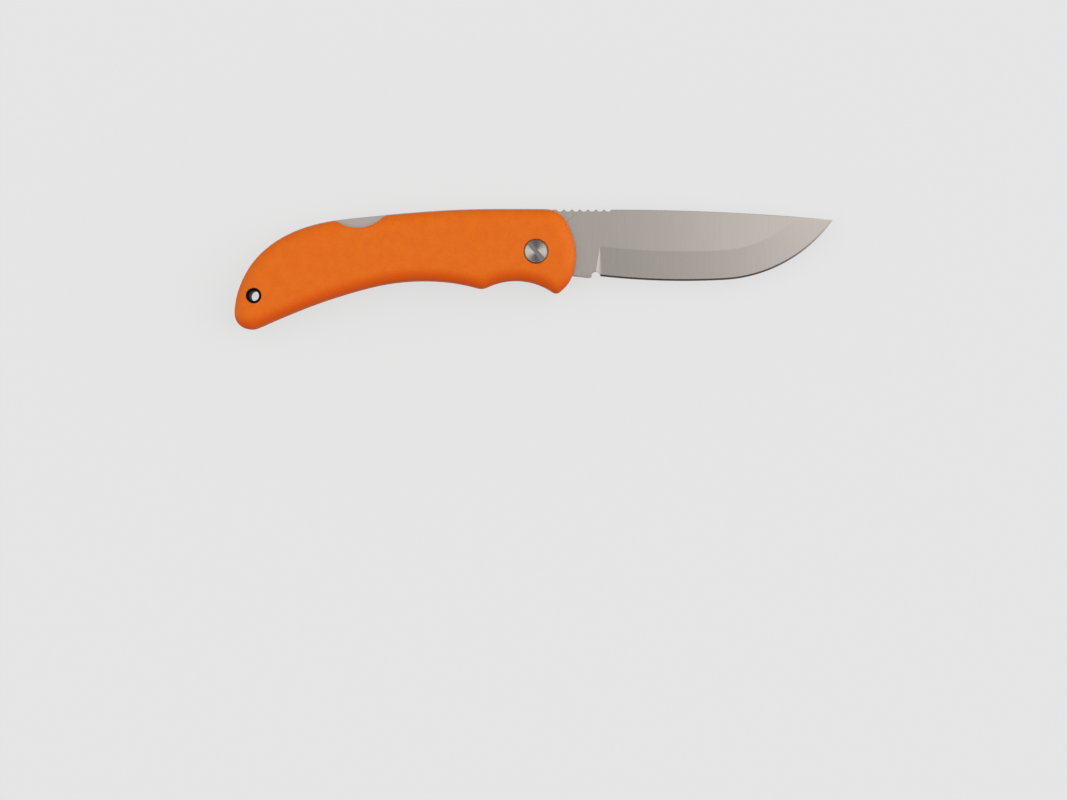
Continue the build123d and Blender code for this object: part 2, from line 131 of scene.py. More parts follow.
def add_node(tree: Tree, kind: str, inputs: dict | None = None, **settings) -> bpy.types.Node:
    """Adds one node with its settings and links.

    Args:
        tree: the node tree that gets the node.
        kind: the node's type name, without "ShaderNode".
        inputs: for each input's name or number, its value or the output socket to link to it.
        settings: the node's own properties.

    Returns:
        The new node.
    """
    node = tree.nodes.new("ShaderNode" + kind)
    for name, value in settings.items():
        setattr(node, name, value)
    for key, value in (inputs or {}).items():
        if isinstance(value, Socket):
            tree.links.new(value, node.inputs[key])
        else:
            node.inputs[key].default_value = value
    return node


def number(tree: Tree, operation: str, *values: float | Socket) -> Socket:
    """The result of one step of arithmetic."""
    return add_node(tree, "Math", dict(enumerate(values)), operation=operation).outputs[0]


def vector(tree: Tree, operation: str, *values: tuple | Socket) -> Socket:
    """The result of one step of vector arithmetic. A length comes out as a number."""
    node = add_node(tree, "VectorMath", dict(enumerate(values)), operation=operation)
    return node.outputs["Value" if operation == "LENGTH" else "Vector"]


def scaled(tree: Tree, value: Socket, factor: float | Socket) -> Socket:
    """A vector times a number."""
    return add_node(tree, "VectorMath", {0: value, "Scale": factor}, operation="SCALE").outputs[0]


def world_way(tree: Tree, way: tuple | Socket) -> Socket:
    """A direction on the object, as a direction of length one in the world."""
    spaces = {"vector_type": "VECTOR", "convert_from": "OBJECT", "convert_to": "WORLD"}
    return vector(tree, "NORMALIZE", add_node(tree, "VectorTransform", {0: way}, **spaces).outputs[0])


def mapped(
    tree: Tree, value: Socket, source: tuple, target: tuple = (0.0, 1.0), smooth: bool = False
) -> Socket:
    """A number carried from one range to another and held at the ends.

    Args:
        tree: the node tree.
        value: the number.
        source: the two ends of its range.
        target: what they are carried to.
        smooth: whether it leaves and arrives level.

    Returns:
        The carried number.
    """
    ends = {"From Min": source[0], "From Max": source[1], "To Min": target[0], "To Max": target[1]}
    kind = "SMOOTHSTEP" if smooth else "LINEAR"
    return add_node(tree, "MapRange", {"Value": value, **ends}, interpolation_type=kind).outputs[0]


def varied(tree: Tree, pattern: Socket, level: float, share: float) -> Socket:
    """A level that a pattern from 0 to 1 carries up and down by a share of itself."""
    return mapped(tree, pattern, (0.0, 1.0), (level * (1 - share), level * (1 + share)))


def mixed(tree: Tree, share: float | Socket, under: tuple | Socket, over: tuple | Socket) -> Socket:
    """Two colours mixed, with a share of the second."""
    return add_node(tree, "Mix", {0: share, 6: under, 7: over}, data_type="RGBA").outputs[2]


def shaded(tree: Tree, colour: tuple | Socket, shade: Socket) -> Socket:
    """A colour multiplied by a shade."""
    inputs = {0: 1.0, 6: colour, 7: shade}
    return add_node(tree, "Mix", inputs, data_type="RGBA", blend_type="MULTIPLY").outputs[2]


def ramp(tree: Tree, value: Socket, places: tuple[float, float], first: tuple, last: tuple) -> Socket:
    """A colour that passes from the first to the last between two places from 0 to 1."""
    node = add_node(tree, "ValToRGB", {0: value})
    for element, place, colour in zip(node.color_ramp.elements, places, (first, last)):
        element.position = place
        element.color = colour
    return node.outputs[0]


def noise(tree: Tree, place: Socket, scale: float, detail: float, roughness: float = 0.5) -> bpy.types.Node:
    """Fractal noise over places, with its scale in waves per unit of length."""
    inputs = {"Vector": place, "Scale": scale, "Detail": detail, "Roughness": roughness}
    return add_node(tree, "TexNoise", inputs)


def bumped(tree: Tree, height: Socket, relief: tuple[float, float], invert: bool = False) -> Socket:
    """The surface's direction as a fine relief bends it, given its strength and its depth in millimetres."""
    strength, depth = relief
    inputs = {"Height": height, "Strength": strength, "Distance": depth * MM}
    return add_node(tree, "Bump", inputs, invert=invert).outputs[0]


def unit(vectors: np.ndarray) -> np.ndarray:
    """Each vector divided by its own length."""
    return vectors / np.linalg.norm(vectors, axis=-1, keepdims=True)


def round_off(distance: np.ndarray, width: float, drop: float) -> np.ndarray:
    """How far a rounded edge lies below the face beside it: a quarter of an ellipse.

    With u the share of the width that is left, from one at the edge to nothing at its end, the
    drop is its full value times one less the root of one less u squared.
    """
    left = np.clip(1 - distance / width, 0, 1)
    return drop * (1 - np.sqrt(1 - left**2))


def smooth_step(value: np.ndarray, low: float, high: float) -> np.ndarray:
    """Rises from nothing at low to one at high, level at both ends."""
    t = np.clip((value - low) / (high - low), 0, 1)
    return t * t * (3 - 2 * t)


def spread(length: np.ndarray, near_start: np.ndarray, near_end: np.ndarray, count: int) -> np.ndarray:
    """Steps along straight lines, close together near both ends.

    The near steps shrink on a line shorter than 2.2 times their run.

    Args:
        length: of each line.
        near_start: steps from a line's start, from nothing upwards.
        near_end: steps from a line's end, from nothing upwards.
        count: even steps between them.

    Returns:
        One row per step and one column per line.
    """
    room = 2.2
    first = near_start[:, None] * np.minimum(1, length / (room * near_start[-1]))
    last = length - near_end[::-1, None] * np.minimum(1, length / (room * near_end[-1]))
    u = np.linspace(0, 1, count + 2)[1:-1, None]
    return np.concatenate([first, first[-1] + u * (last[0] - first[-1]), last])


# ---- Curves in side view ----
def arc_lengths(curve: np.ndarray) -> np.ndarray:
    """Length along a line of points, from its first point to each one."""
    return np.concatenate([[0.0], np.cumsum(np.linalg.norm(np.diff(curve, axis=0), axis=1))])


def evenly(curve: np.ndarray, count: int) -> np.ndarray:
    """A line of points drawn again with count points at an even spacing along it."""
    length = arc_lengths(curve)
    wanted = np.linspace(0, length[-1], count)
    return np.stack([np.interp(wanted, length, curve[:, axis]) for axis in (0, 1)], axis=1)


def cubic(
    start: np.ndarray, leave: np.ndarray, end: np.ndarray, arrive: np.ndarray, u: np.ndarray
) -> np.ndarray:
    """The cubic from start to end with the given slopes at both, at shares u of its run."""
    return (
        (2 * u**3 - 3 * u**2 + 1) * start
        + (u**3 - 2 * u**2 + u) * leave
        + (3 * u**2 - 2 * u**3) * end
        + (u**3 - u**2) * arrive
    )


def flowing(points: np.ndarray, steps: int = 24) -> np.ndarray:
    """A smooth closed curve through points, with a cubic between each two neighbours.

    Its direction at each point is that of the parabola through the point and both its
    neighbours: the two chords, each weighted by the other's length.

    Args:
        points: corner points in order, one row each.
        steps: short straight steps that stand for each cubic.

    Returns:
        The closed curve as a line of points, without the first one again at its end.
    """
    after = np.roll(points, -1, axis=0)
    span = np.linalg.norm(after - points, axis=1)[:, None]
    chord = (after - points) / span
    before = np.roll(span, 1, axis=0)
    slope = (np.roll(chord, 1, axis=0) * span + chord * before) / (span + before)
    u = (np.arange(steps) / steps)[None, :, None]
    leave, arrive = slope * span, np.roll(slope, -1, axis=0) * span
    return cubic(points[:, None], leave[:, None], after[:, None], arrive[:, None], u).reshape(-1, 2)


def eased(corners: np.ndarray, radius: float, closed: bool, steps: int = 5) -> np.ndarray:
    """A line through corner points with each corner rounded.

    A corner becomes a parabola between the points at one radius before and after it, or at 0.45
    of the side's length where that is shorter.

    Args:
        corners: corner points in order, one row each.
        radius: of the rounding.
        closed: whether the line closes; the ends of an open line stay sharp.
        steps: points on each rounding.

    Returns:
        The rounded line's points.
    """
    before, after = np.roll(corners, 1, axis=0) - corners, np.roll(corners, -1, axis=0) - corners
    to_before, to_after = (np.linalg.norm(side, axis=1, keepdims=True) for side in (before, after))
    most = 0.45
    start = corners + before / to_before * np.minimum(radius, most * to_before)
    end = corners + after / to_after * np.minimum(radius, most * to_after)
    t = np.linspace(0, 1, steps)[None, :, None]
    rounded = (1 - t) ** 2 * start[:, None] + 2 * t * (1 - t) * corners[:, None] + t**2 * end[:, None]
    if closed:
        return rounded.reshape(-1, 2)
    return np.vstack([corners[:1], rounded[1:-1].reshape(-1, 2), corners[-1:]])


def outline_at(node: bpy.types.Object, level: float) -> np.ndarray:
    """The longest closed line of sharp edges of a frame node at one level, counterclockwise.

    Args:
        node: the frame's object. A merged copy of its mesh is read.
        level: height of the line in millimetres.

    Returns:
        Its corner points in millimetres.
    """
    mesh = bmesh.new()
    mesh.from_mesh(node.data)
    bmesh.ops.remove_doubles(mesh, verts=mesh.verts, dist=WELD)
    level_verts = {v for v in mesh.verts if abs(v.co.z - level * MM) < WELD}
    ways: dict = {}
    for edge in mesh.edges:
        if set(edge.verts) <= level_verts and edge.calc_face_angle(0) > STEEP:
            for vert in edge.verts:
                ways.setdefault(vert, []).append(edge.other_vert(vert))
    best = np.zeros((0, 2))
    best_length = 0.0
    while ways:
        start = next(iter(ways))
        line = [start]
        while ways.get(line[-1]):
            here = line[-1]
            step = next((v for v in ways[here] if len(line) < 2 or v is not line[-2]), None)
            ways.pop(here)
            if step is None or step is start:
                break
            line.append(step)
        points = np.array([(v.co.x, v.co.y) for v in line]) / MM
        length = np.linalg.norm(points - np.roll(points, 1, axis=0), axis=1).sum()
        if length > best_length:
            best, best_length = points, length
    mesh.free()
    after = np.roll(best, -1, axis=0)
    area = (best[:, 0] * after[:, 1] - best[:, 1] * after[:, 0]).sum()
    return best if area > 0 else best[::-1]


def distance_to(points: np.ndarray, curve: np.ndarray, closed: bool) -> np.ndarray:
    """Shortest distance from each point to a line of points.

    Each point is dropped square onto every segment, and held between that segment's ends.
    """
    start = curve if closed else curve[:-1]
    run = (np.roll(curve, -1, axis=0) if closed else curve[1:]) - start
    share_of = (run**2).sum(axis=1)
    found = np.empty(len(points))
    for chunk in np.array_split(np.arange(len(points)), max(1, len(points) // CHUNK)):
        offset = points[chunk, None] - start
        share = np.clip((offset * run).sum(axis=2) / share_of, 0, 1)
        found[chunk] = ((offset - share[..., None] * run) ** 2).sum(axis=2).min(axis=1)
    return np.sqrt(found)


def soft_distance(points: np.ndarray, curve: np.ndarray) -> np.ndarray:
    """Distance to a closed curve, without the ridges that the plain distance has inside it.

    The sum along the curve of one over the sixth power of the distance, divided by what a straight
    line gives at distance one, is raised to minus a fifth. Near the curve, from 1.3 mm down to
    0.3 mm, it passes over into the plain distance.
    """
    least_square = 1e-4
    plain = distance_to(points, curve, closed=True)
    straight = math.sqrt(math.pi) * math.gamma(2.5) / math.gamma(3)
    step = np.linalg.norm(np.roll(curve, -1, axis=0) - curve, axis=1)
    total = np.empty(len(points))
    for chunk in np.array_split(np.arange(len(points)), max(1, len(points) // CHUNK)):
        square = ((points[chunk, None] - curve) ** 2).sum(axis=2)
        total[chunk] = (step / np.maximum(square, least_square) ** 3).sum(axis=1)
    soft = (total / straight) ** (-1 / 5)
    share = smooth_step(plain, 0.3, 1.3)
    return plain * (1 - share) + soft * share


# ---- Surfaces ----
class Surface:
    """Grids of points that are gathered and welded into closed shells."""

    def __init__(self) -> None:
        """Starts with no grids."""
        self.points: list[np.ndarray] = []
        self.faces: list[np.ndarray] = []
        self.count = 0

    def grid(self, points: np.ndarray, wrap: bool = False) -> None:
        """Adds a grid of points with a face between each four neighbours.

        Args:
            points: rows of columns of points in millimetres.
            wrap: whether the last column joins the first.
        """
        rows, columns = points.shape[:2]
        index = self.count + np.arange(rows * columns).reshape(rows, columns)
        right = np.roll(index, -1, axis=1) if wrap else index[:, 1:]
        left = index if wrap else index[:, :-1]
        quads = np.stack([left[:-1], right[:-1], right[1:], left[1:]], axis=-1).reshape(-1, 4)
        self.points.append(points.reshape(-1, 3))
        self.faces.append(quads)
        self.count += rows * columns

    def fan(self, ring: np.ndarray, centre: np.ndarray) -> None:
        """Closes a ring of points with triangles to a centre."""
        rim = self.count + np.arange(len(ring))
        hub = np.full(len(ring), self.count + len(ring))
        self.points.append(np.concatenate([ring, centre[None]]))
        self.faces.append(np.stack([rim, np.roll(rim, -1), hub, hub], axis=1))
        self.count += len(ring) + 1

    def turned(self, profile: np.ndarray, axis: np.ndarray, count: int, closed: bool) -> None:
        """Adds a profile carried once round an upright axis.

        A point at radius r and turn a goes to the axis plus r times cosine and sine of a.

        Args:
            profile: radius and level of each of its points.
            axis: the axis in side view.
            count: points on each ring.
            closed: whether the profile closes on itself; an open one starts and ends on the axis.
        """
        turn = 2 * math.pi * np.arange(count) / count
        rows = np.vstack([profile, profile[:1]]) if closed else profile
        radius, level = rows[:, :1], np.repeat(rows[:, 1:], count, axis=1)
        ring = np.stack([axis[0] + radius * np.cos(turn), axis[1] + radius * np.sin(turn), level], axis=-1)
        self.grid(ring, wrap=True)

    def mirrored(self, level: float) -> Surface:
        """The same shells turned over about a level."""
        copy = Surface()
        copy.points = [points * (1, 1, -1) + (0, 0, 2 * level) for points in self.points]
        copy.faces, copy.count = self.faces, self.count
        return copy

    def piece(self, name: str, finish: bpy.types.Material, sharp: float = 35.0) -> bpy.types.Object:
        """Makes the object, smooth but for edges sharper than an angle.

        Args:
            name: the piece's name.
            finish: its material.
            sharp: degrees between two faces from which their edge is sharp.

        Returns:
            The object, linked to the scene, with its faces turned outwards.
        """
        mesh = bmesh.new()
        verts = [mesh.verts.new(p) for p in np.concatenate(self.points) * MM]
        for face in np.concatenate(self.faces).tolist():
            mesh.faces.new([verts[i] for i in dict.fromkeys(face)])
        bmesh.ops.remove_doubles(mesh, verts=mesh.verts, dist=WELD)
        bmesh.ops.dissolve_degenerate(mesh, edges=mesh.edges, dist=WELD)
        bmesh.ops.recalc_face_normals(mesh, faces=mesh.faces)
        limit = math.radians(sharp)
        for face in mesh.faces:
            face.smooth = True
        for edge in mesh.edges:
            edge.smooth = edge.calc_face_angle(0) < limit
        data = bpy.data.meshes.new(name)
        mesh.to_mesh(data)
        mesh.free()
        data.materials.append(finish)
        piece = bpy.data.objects.new(name, data)
        bpy.context.scene.collection.objects.link(piece)
        log.info("%s: %d faces", name, len(data.polygons))
        return piece


def stand_in(piece: bpy.types.Object, node: str, body: str) -> None:
    """Puts a rigid piece in a frame node's place and its body."""
    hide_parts(node)
    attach(piece, body)


# ---- Finishes ----
@dataclass(frozen=True)
class Finish:
    """A material named for what the real one is and how its surface was made."""

    name: str

    def material(self) -> bpy.types.Material:
        """Makes the material: one surface shader, fed by the finish's own looks."""
        material = bpy.data.materials.new(self.name)
        tree = fresh_tree(material)
        place = add_node(tree, "TexCoord").outputs["Object"]
        shader = add_node(tree, "BsdfPrincipled", self.looks(tree, place))
        add_node(tree, "OutputMaterial", {"Surface": shader.outputs[0]})
        return material

    def looks(self, tree: Tree, place: Socket) -> dict:
        """Builds what varies over the surface.

        Args:
            tree: the material's node tree.
            place: the place on the object, in metres.

        Returns:
            The shader's inputs by name: plain values, or the sockets that vary them.
        """
        raise NotImplementedError


@dataclass(frozen=True)
class GrainedElastomer(Finish):
    """Moulded thermoplastic elastomer with a fine leather grain spark-eroded into the mould.

    It gives the eye an even, saturated colour with almost no highlight: the grain breaks the light
    up, and soft drifts of slightly redder and yellower colour show in it. Where the flanks turn
    down to the belly the colour is made deeper and redder: painted shade.
    """

    colour: str = "EA700D"
    red_drift: str = "E76A0D"
    drift_mm: float = 3.0
    drift_places: tuple[float, float] = (0.35, 0.65)  # of the noise, from the redder colour to the plain one
    # painted shade: a deeper red for the flanks that turn down to the belly
    painted_belly_shade: str = "E65A09"
    painted_shade_lean: tuple[float, float] = (0.05, 0.6)  # lean to the belly at which the painted shade starts and is full
    grain_mm: float = 0.6  # across one pebble of the grain
    bending: float = 0.6  # share of a pebble by which its walls wander
    softness: float = 0.6  # of the pebbles' walls
    pit_shade: float = 0.94
    pit_places: tuple[float, float] = (0.1, 0.75)  # distance from a pebble's middle, plain to pitted
    relief: tuple[float, float] = (0.25, 0.08)  # strength, and depth in millimetres
    roughness: float = 0.5
    gloss: float = 0.16  # specular level

    def looks(self, tree: Tree, place: Socket) -> dict:
        """Pebbles with wandering walls over drifts of colour."""
        bend = noise(tree, place, 1 / (2 * self.grain_mm * MM), 2.0).outputs["Color"]
        bent = vector(tree, "ADD", place, scaled(tree, bend, self.bending * self.grain_mm * MM))
        cells = {"Vector": bent, "Scale": 1 / (self.grain_mm * MM), "Smoothness": self.softness}
        pebbles = add_node(tree, "TexVoronoi", cells, feature="SMOOTH_F1").outputs["Distance"]
        drift = noise(tree, place, 1 / (self.drift_mm * MM), 5.0, 0.55).outputs[0]
        shade = ramp(tree, drift, self.drift_places, linear(self.red_drift), linear(self.colour))
        facing = add_node(tree, "SeparateXYZ", {0: add_node(tree, "TexCoord").outputs["Normal"]})
        start, full = self.painted_shade_lean
        # painted shade: its share, by how far the surface leans towards the belly
        depth = mapped(tree, facing.outputs[1], (-start, -full), smooth=True)
        pits = ramp(tree, pebbles, self.pit_places, grey(1.0), grey(self.pit_shade))
        return {
            "Base Color": shaded(tree, mixed(tree, depth, shade, linear(self.painted_belly_shade)), pits),
            "Normal": bumped(tree, pebbles, self.relief, invert=True),
            "Roughness": self.roughness,
            "Specular IOR Level": self.gloss,
        }


@dataclass(frozen=True)
class WorkedSteel(Finish):
    """Stainless steel with the fine parallel lines of a grinding belt.

    The lines spread a reflection square to themselves, so a flat looks soft along one way only,
    and each line is a slightly lighter or darker hair.
    """

    colour: str = "B5ACA5"
    painted_reflection_far: str = ""  # painted reflection: a lighter colour towards the point, where it differs
    near_x: float = 0.0  # in millimetres; from here to far_x the plain colour passes into the painted reflection
    far_x: float = 1.0
    grain: Grain = Grain.ALONG
    line_mm: float = 0.12  # from one line to the next, coarser than the real 0.03 so that it shows
    line_length_mm: float = 14.0
    line_places: tuple[float, float] = (0.3, 0.7)  # of the noise, from the darkest hair to the lightest
    contrast: float = 0.05
    relief: tuple[float, float] = (0.12, 0.01)  # strength, and depth in millimetres
    roughness: float = 0.3
    uneven: float = 0.15  # share by which the roughness varies
    spread: float = 0.5  # how much further the lines spread light square to themselves

    def looks(self, tree: Tree, place: Socket) -> dict:
        """Hairs stretched along the lines, with the shader's tangent square to them."""
        fine, long = 1 / (self.line_mm * MM), 1 / (self.line_length_mm * MM)
        scale = {Grain.ALONG: (long, fine, long), Grain.ACROSS: (fine, long, long)}[self.grain]
        across = {Grain.ALONG: (0, 1, 0), Grain.ACROSS: (1, 0, 0)}[self.grain]
        stretched = add_node(tree, "Mapping", {"Vector": place, "Scale": scale}).outputs[0]
        hairs = noise(tree, stretched, 1.0, 3.0, 0.65).outputs[0]
        tone = ramp(tree, hairs, self.line_places, grey(1 - 2 * self.contrast), grey(1.0))
        base = linear(self.colour)
        # painted reflection: the colour lightens towards the point
        if self.painted_reflection_far:
            along = add_node(tree, "SeparateXYZ", {0: place}).outputs[0]
            share = mapped(tree, along, (self.near_x * MM, self.far_x * MM), smooth=True)
            base = mixed(tree, share, base, linear(self.painted_reflection_far))
        return {
            "Base Color": shaded(tree, base, tone),
            "Roughness": varied(tree, hairs, self.roughness, self.uneven),
            "Normal": bumped(tree, hairs, self.relief),
            "Tangent": world_way(tree, across),
            "Metallic": 1.0,
            "Anisotropic": self.spread,
        }


@dataclass(frozen=True)
class FacedSteel(Finish):
    """Stainless steel faced on a lathe, with a milled slot.

    The tool leaves a round groove whose flanks lean inwards and outwards. They mirror the studio on
    both sides of square, so the head shows the eye a bow tie: light towards the lit sides and dark
    towards the others. The slot's floor has no grooves, and its colour is darkened: painted shade,
    and partly its darker milled finish.
    """

    colour: str = "A09B96"
    axis: tuple[float, float] = (0.0, 0.0)  # in millimetres
    groove_mm: float = 0.3  # from groove to groove, coarser than the real 0.1 so that it shows
    lean: float = 0.45  # slope of the flanks
    cut_off: float = 0.25  # share of the wave's height at which it is cut off
    middle: float = 0.0  # level halfway between the two heads, in millimetres
    face_from: float = 6.8  # above or below that level lies the faced metal, and below it the slot
    face_blend: float = 0.1
    # painted shade on the slot's floor, partly its darker milled finish
    slot_shade: float = 0.5
    stain_mm: float = 0.5
    roughness: float = 0.25
    uneven: float = 0.2  # share by which the roughness varies

    def looks(self, tree: Tree, place: Socket) -> dict:
        """Flanks that lean along the line from the axis, inwards and outwards by turns.

        The slope follows the sine of the distance from the axis, cut off at a share of its height.
        """
        offset = vector(tree, "SUBTRACT", place, tuple(part * MM for part in (*self.axis, self.middle)))
        flat = vector(tree, "MULTIPLY", offset, (1, 1, 0))
        turns = number(tree, "MULTIPLY", vector(tree, "LENGTH", flat), 2 * math.pi / (self.groove_mm * MM))
        height = number(tree, "ABSOLUTE", add_node(tree, "SeparateXYZ", {0: offset}).outputs[2])
        slot_edge = ((self.face_from - self.face_blend) * MM, (self.face_from + self.face_blend) * MM)
        faced = mapped(tree, height, slot_edge)
        wave = (-self.cut_off, self.cut_off)
        slope = mapped(tree, number(tree, "SINE", turns), wave, (-self.lean, self.lean))
        step = scaled(tree, world_way(tree, flat), number(tree, "MULTIPLY", slope, faced))
        leaning = vector(tree, "ADD", add_node(tree, "NewGeometry").outputs["Normal"], step)
        stain = noise(tree, place, 1 / (self.stain_mm * MM), 3.0).outputs[0]
        # painted shade: the slot's floor is darkened, partly for its darker milled finish
        shade = ramp(tree, faced, (0.0, 1.0), grey(self.slot_shade), grey(1.0))
        return {
            "Base Color": shaded(tree, linear(self.colour), shade),
            "Roughness": varied(tree, stain, self.roughness, self.uneven),
            "Normal": vector(tree, "NORMALIZE", leaning),
            "Metallic": 1.0,
        }


@dataclass(frozen=True)
class Mottled(Finish):
    """A plain part whose surface varies only in a fine mottle, such as rolled bronze or lacquer.

    It gives the eye one colour, broken a little by handling and by uneven colouring.
    """

    colour: str = "101010"
    worn: str = "1C1C1C"
    mottle_mm: float = 1.2
    mottle_places: tuple[float, float] = (0.4, 0.75)  # of the noise, from the plain colour to the worn one
    relief: tuple[float, float] = (0.08, 0.02)  # strength, and depth in millimetres
    metallic: float = 0.0
    roughness: float = 0.4
    uneven: float = 0.2  # share by which the roughness varies
    gloss: float = 0.5  # specular level

    def looks(self, tree: Tree, place: Socket) -> dict:
        """One noise that varies colour, roughness and relief together."""
        mottle = noise(tree, place, 1 / (self.mottle_mm * MM), 5.0).outputs[0]
        return {
            "Base Color": ramp(tree, mottle, self.mottle_places, linear(self.colour), linear(self.worn)),
            "Roughness": varied(tree, mottle, self.roughness, self.uneven),
            "Normal": bumped(tree, mottle, self.relief),
            "Metallic": self.metallic,
            "Specular IOR Level": self.gloss,
        }


# ---- Where things lie ----
@dataclass(frozen=True)
class Layout:
    """Places in side view and levels, in millimetres, read from the frame."""

    pivot: np.ndarray
    tube: np.ndarray
    middle: float
    scale_inner: float
    scale_outer: float
    low: np.ndarray  # corners of the handle's own box in side view
    high: np.ndarray

    @staticmethod
    def read() -> Layout:
        """Reads the layout from the frame's boxes."""
        names = ("pivot_barrel", "lanyard_tube", "blade", "handle_scale_front", "liner_front")
        boxes = {name: np.array([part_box(name)[0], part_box(name)[1]]) / MM for name in names}
        centre = {name: box.mean(axis=0) for name, box in boxes.items()}
        scale = boxes["handle_scale_front"]
        return Layout(
            pivot=centre["pivot_barrel"][:2],
            tube=centre["lanyard_tube"][:2],
            middle=centre["blade"][2],
            scale_inner=boxes["liner_front"][1, 2],
            scale_outer=scale[1, 2],
            low=scale[0, :2],
            high=scale[1, :2],
        )


# ---- Handle ----
@dataclass
class HandleScales:
    """The two moulded halves of the handle, with full soft edges, recesses and lips."""

    layout: Layout
    edge_width: float = 4.6  # of the soft edge all round
    edge_drop: float = 3.4
    scoop_width: float = 0.9
    scoop_drop: float = 0.8
    lip_width: float = 0.22
    pivot_recess: float = 3.8
    pivot_bore: float = 2.53
    pivot_seat: float = 1.25  # below the outer face
    tube_recess: float = 2.35
    tube_bore: float = 2.05
    tube_seat: float = 0.6
    scoop_back: tuple[float, float] = (-70.0, -39.0)  # stretch of the back that the scoop cuts
    spacing: float = 0.33

    EDGE_STEPS = np.array(
        [0, 0.02, 0.06, 0.12, 0.2, 0.31, 0.45, 0.62, 0.83, 1.08, 1.38, 1.74, 2.15, 2.6, 3.1, 3.65, 4.25]
    )
    LIP_STEPS = np.array([0, 0.012, 0.035, 0.07, 0.11, 0.16, 0.22, 0.3])
    MIDDLE_ROWS = 10
    UNDER_ROWS = 9  # of the flat inner face, from a bore to the outline
    WALL_ROWS = 4
    REFERENCE_POINTS = 1000  # on the bridged outline
    BRIDGE_POINTS = 60
    SCOOP_POINTS = 250
    STRIDE = 4  # points over which the back's direction is measured beside the scoop

    def build(self, frame: dict) -> None:
        """Builds both halves and puts them in the place of the frame's.

        Args:
            frame: the loaded frame.
        """
        corners = outline_at(frame["nodes"]["handle_scale_front"], self.layout.scale_inner)
        curve = np.clip(flowing(corners), self.layout.low, self.layout.high)
        self.scoop, full = self.split_scoop(curve)
        self.reference = evenly(np.vstack([full, full[:1]]), self.REFERENCE_POINTS + 1)[:-1]
        front = self.surface(self.cut(curve))
        finish = GrainedElastomer("elastomer_moulded_orange").material()
        for side, surface in (("front", front), ("back", front.mirrored(self.layout.middle))):
            piece = surface.piece(f"handle_{side}_grip", finish, sharp=40)
            stand_in(piece, f"handle_scale_{side}", "handle")

    def split_scoop(self, curve: np.ndarray) -> tuple[np.ndarray, np.ndarray]:
        """Finds the scoop in the outline, and the outline as it would be without it.

        The gap is bridged by one cubic that leaves and arrives along the back's own directions.

        Args:
            curve: the closed outline.

        Returns:
            The scoop's stretch of the outline, and the bridged closed outline.
        """
        x = curve[:, 0] - self.layout.pivot[0]
        on_back = (x > self.scoop_back[0]) & (x < self.scoop_back[1]) & (curve[:, 1] > self.layout.pivot[1])
        curve = np.roll(curve, -int(np.argmax(on_back & ~np.roll(on_back, 1))), axis=0)
        count = int(on_back.sum())
        reach = np.linalg.norm(curve[count] - curve[0])
        leave = unit(curve[0] - curve[-self.STRIDE]) * reach
        arrive = unit(curve[count + self.STRIDE] - curve[count]) * reach
        share = np.linspace(0, 1, self.BRIDGE_POINTS)[:, None]
        bridge = cubic(curve[0], leave, curve[count], arrive, share)
        return evenly(curve[:count], self.SCOOP_POINTS), np.vstack([bridge[:-1], curve[count:]])

    def cut(self, curve: np.ndarray) -> dict[str, np.ndarray]:
        """Cuts the outline into the stretches round the pivot, the back, the butt and the belly.

        Args:
            curve: the closed outline, counterclockwise.

        Returns:
            Each stretch in the outline's order.
        """
        marks = {
            "front": self.layout.pivot + (-10.0, -9.6),
            "back": self.layout.pivot + (-10.0, 13.2),
            "butt": self.layout.tube + (1.5, 12.5),
            "belly": self.layout.tube + (12.5, -5.5),
        }
        at = {name: int(np.argmin(np.linalg.norm(curve - mark, axis=1))) for name, mark in marks.items()}
        order = list(marks)
        parts = {}
        for name, after in zip(order, order[1:] + order[:1]):
            stop = at[after] if at[after] > at[name] else at[after] + len(curve)
            stretch = curve[np.arange(at[name], stop + 1) % len(curve)]
            parts[name] = evenly(stretch, math.ceil(arc_lengths(stretch)[-1] / self.spacing) + 1)
        ladder = max(len(parts["back"]), len(parts["belly"]))
        parts["back"] = evenly(parts["back"], ladder)
        parts["belly"] = evenly(parts["belly"], ladder)
        return parts

    def between(self, start: np.ndarray, end: np.ndarray, near_end: np.ndarray) -> np.ndarray:
        """Points along straight lines from start to end, close together near both ends.

        Returns:
            One row per place along the lines and one column per line.
        """
        length = np.linalg.norm(end - start, axis=1)
        steps = spread(length, self.EDGE_STEPS, near_end, self.MIDDLE_ROWS)
        return start + (steps / length)[..., None] * (end - start)

    def top(self, places: np.ndarray) -> np.ndarray:
        """Height of the outer face over places in side view.

        It is the flat outer level, less the soft edge by the distance to the bridged outline, less
        the scoop's narrow edge where the soft edge leaves room for it, less the lips of the holes.
        """
        flat = places.reshape(-1, 2)
        soft = round_off(soft_distance(flat, self.reference), self.edge_width, self.edge_drop)
        narrow = round_off(distance_to(flat, self.scoop, closed=False), self.scoop_width, self.scoop_drop)
        drop = soft + narrow * (1 - soft / self.edge_drop)
        for centre, radius in ((self.layout.pivot, self.pivot_recess), (self.layout.tube, self.tube_recess)):
            from_rim = np.maximum(np.linalg.norm(flat - centre, axis=1) - radius, 0)
            drop += round_off(from_rim, self.lip_width, self.lip_width)
        return (self.layout.scale_outer - drop).reshape(places.shape[:-1])

    def surface(self, parts: dict[str, np.ndarray]) -> Surface:
        """Gathers the grids of the front half.

        A ladder of straight lines joins back and belly. Round the pivot and round the tube, lines
        run from the outline, or from the ladder's last line, to the recess. The recesses' walls,
        ledges and bores, the flat inner face and the outer wall close it.

        Args:
            parts: the stretches of the outline.

        Returns:
            The closed surface.
        """
        surface = Surface()
        inner, outer = self.layout.scale_inner, self.layout.scale_outer

        def lay(places: np.ndarray, heights: np.ndarray, wrap: bool = False) -> None:
            """Adds a grid of places in side view, each at its height."""
            surface.grid(np.concatenate([places, heights[..., None]], axis=-1), wrap)

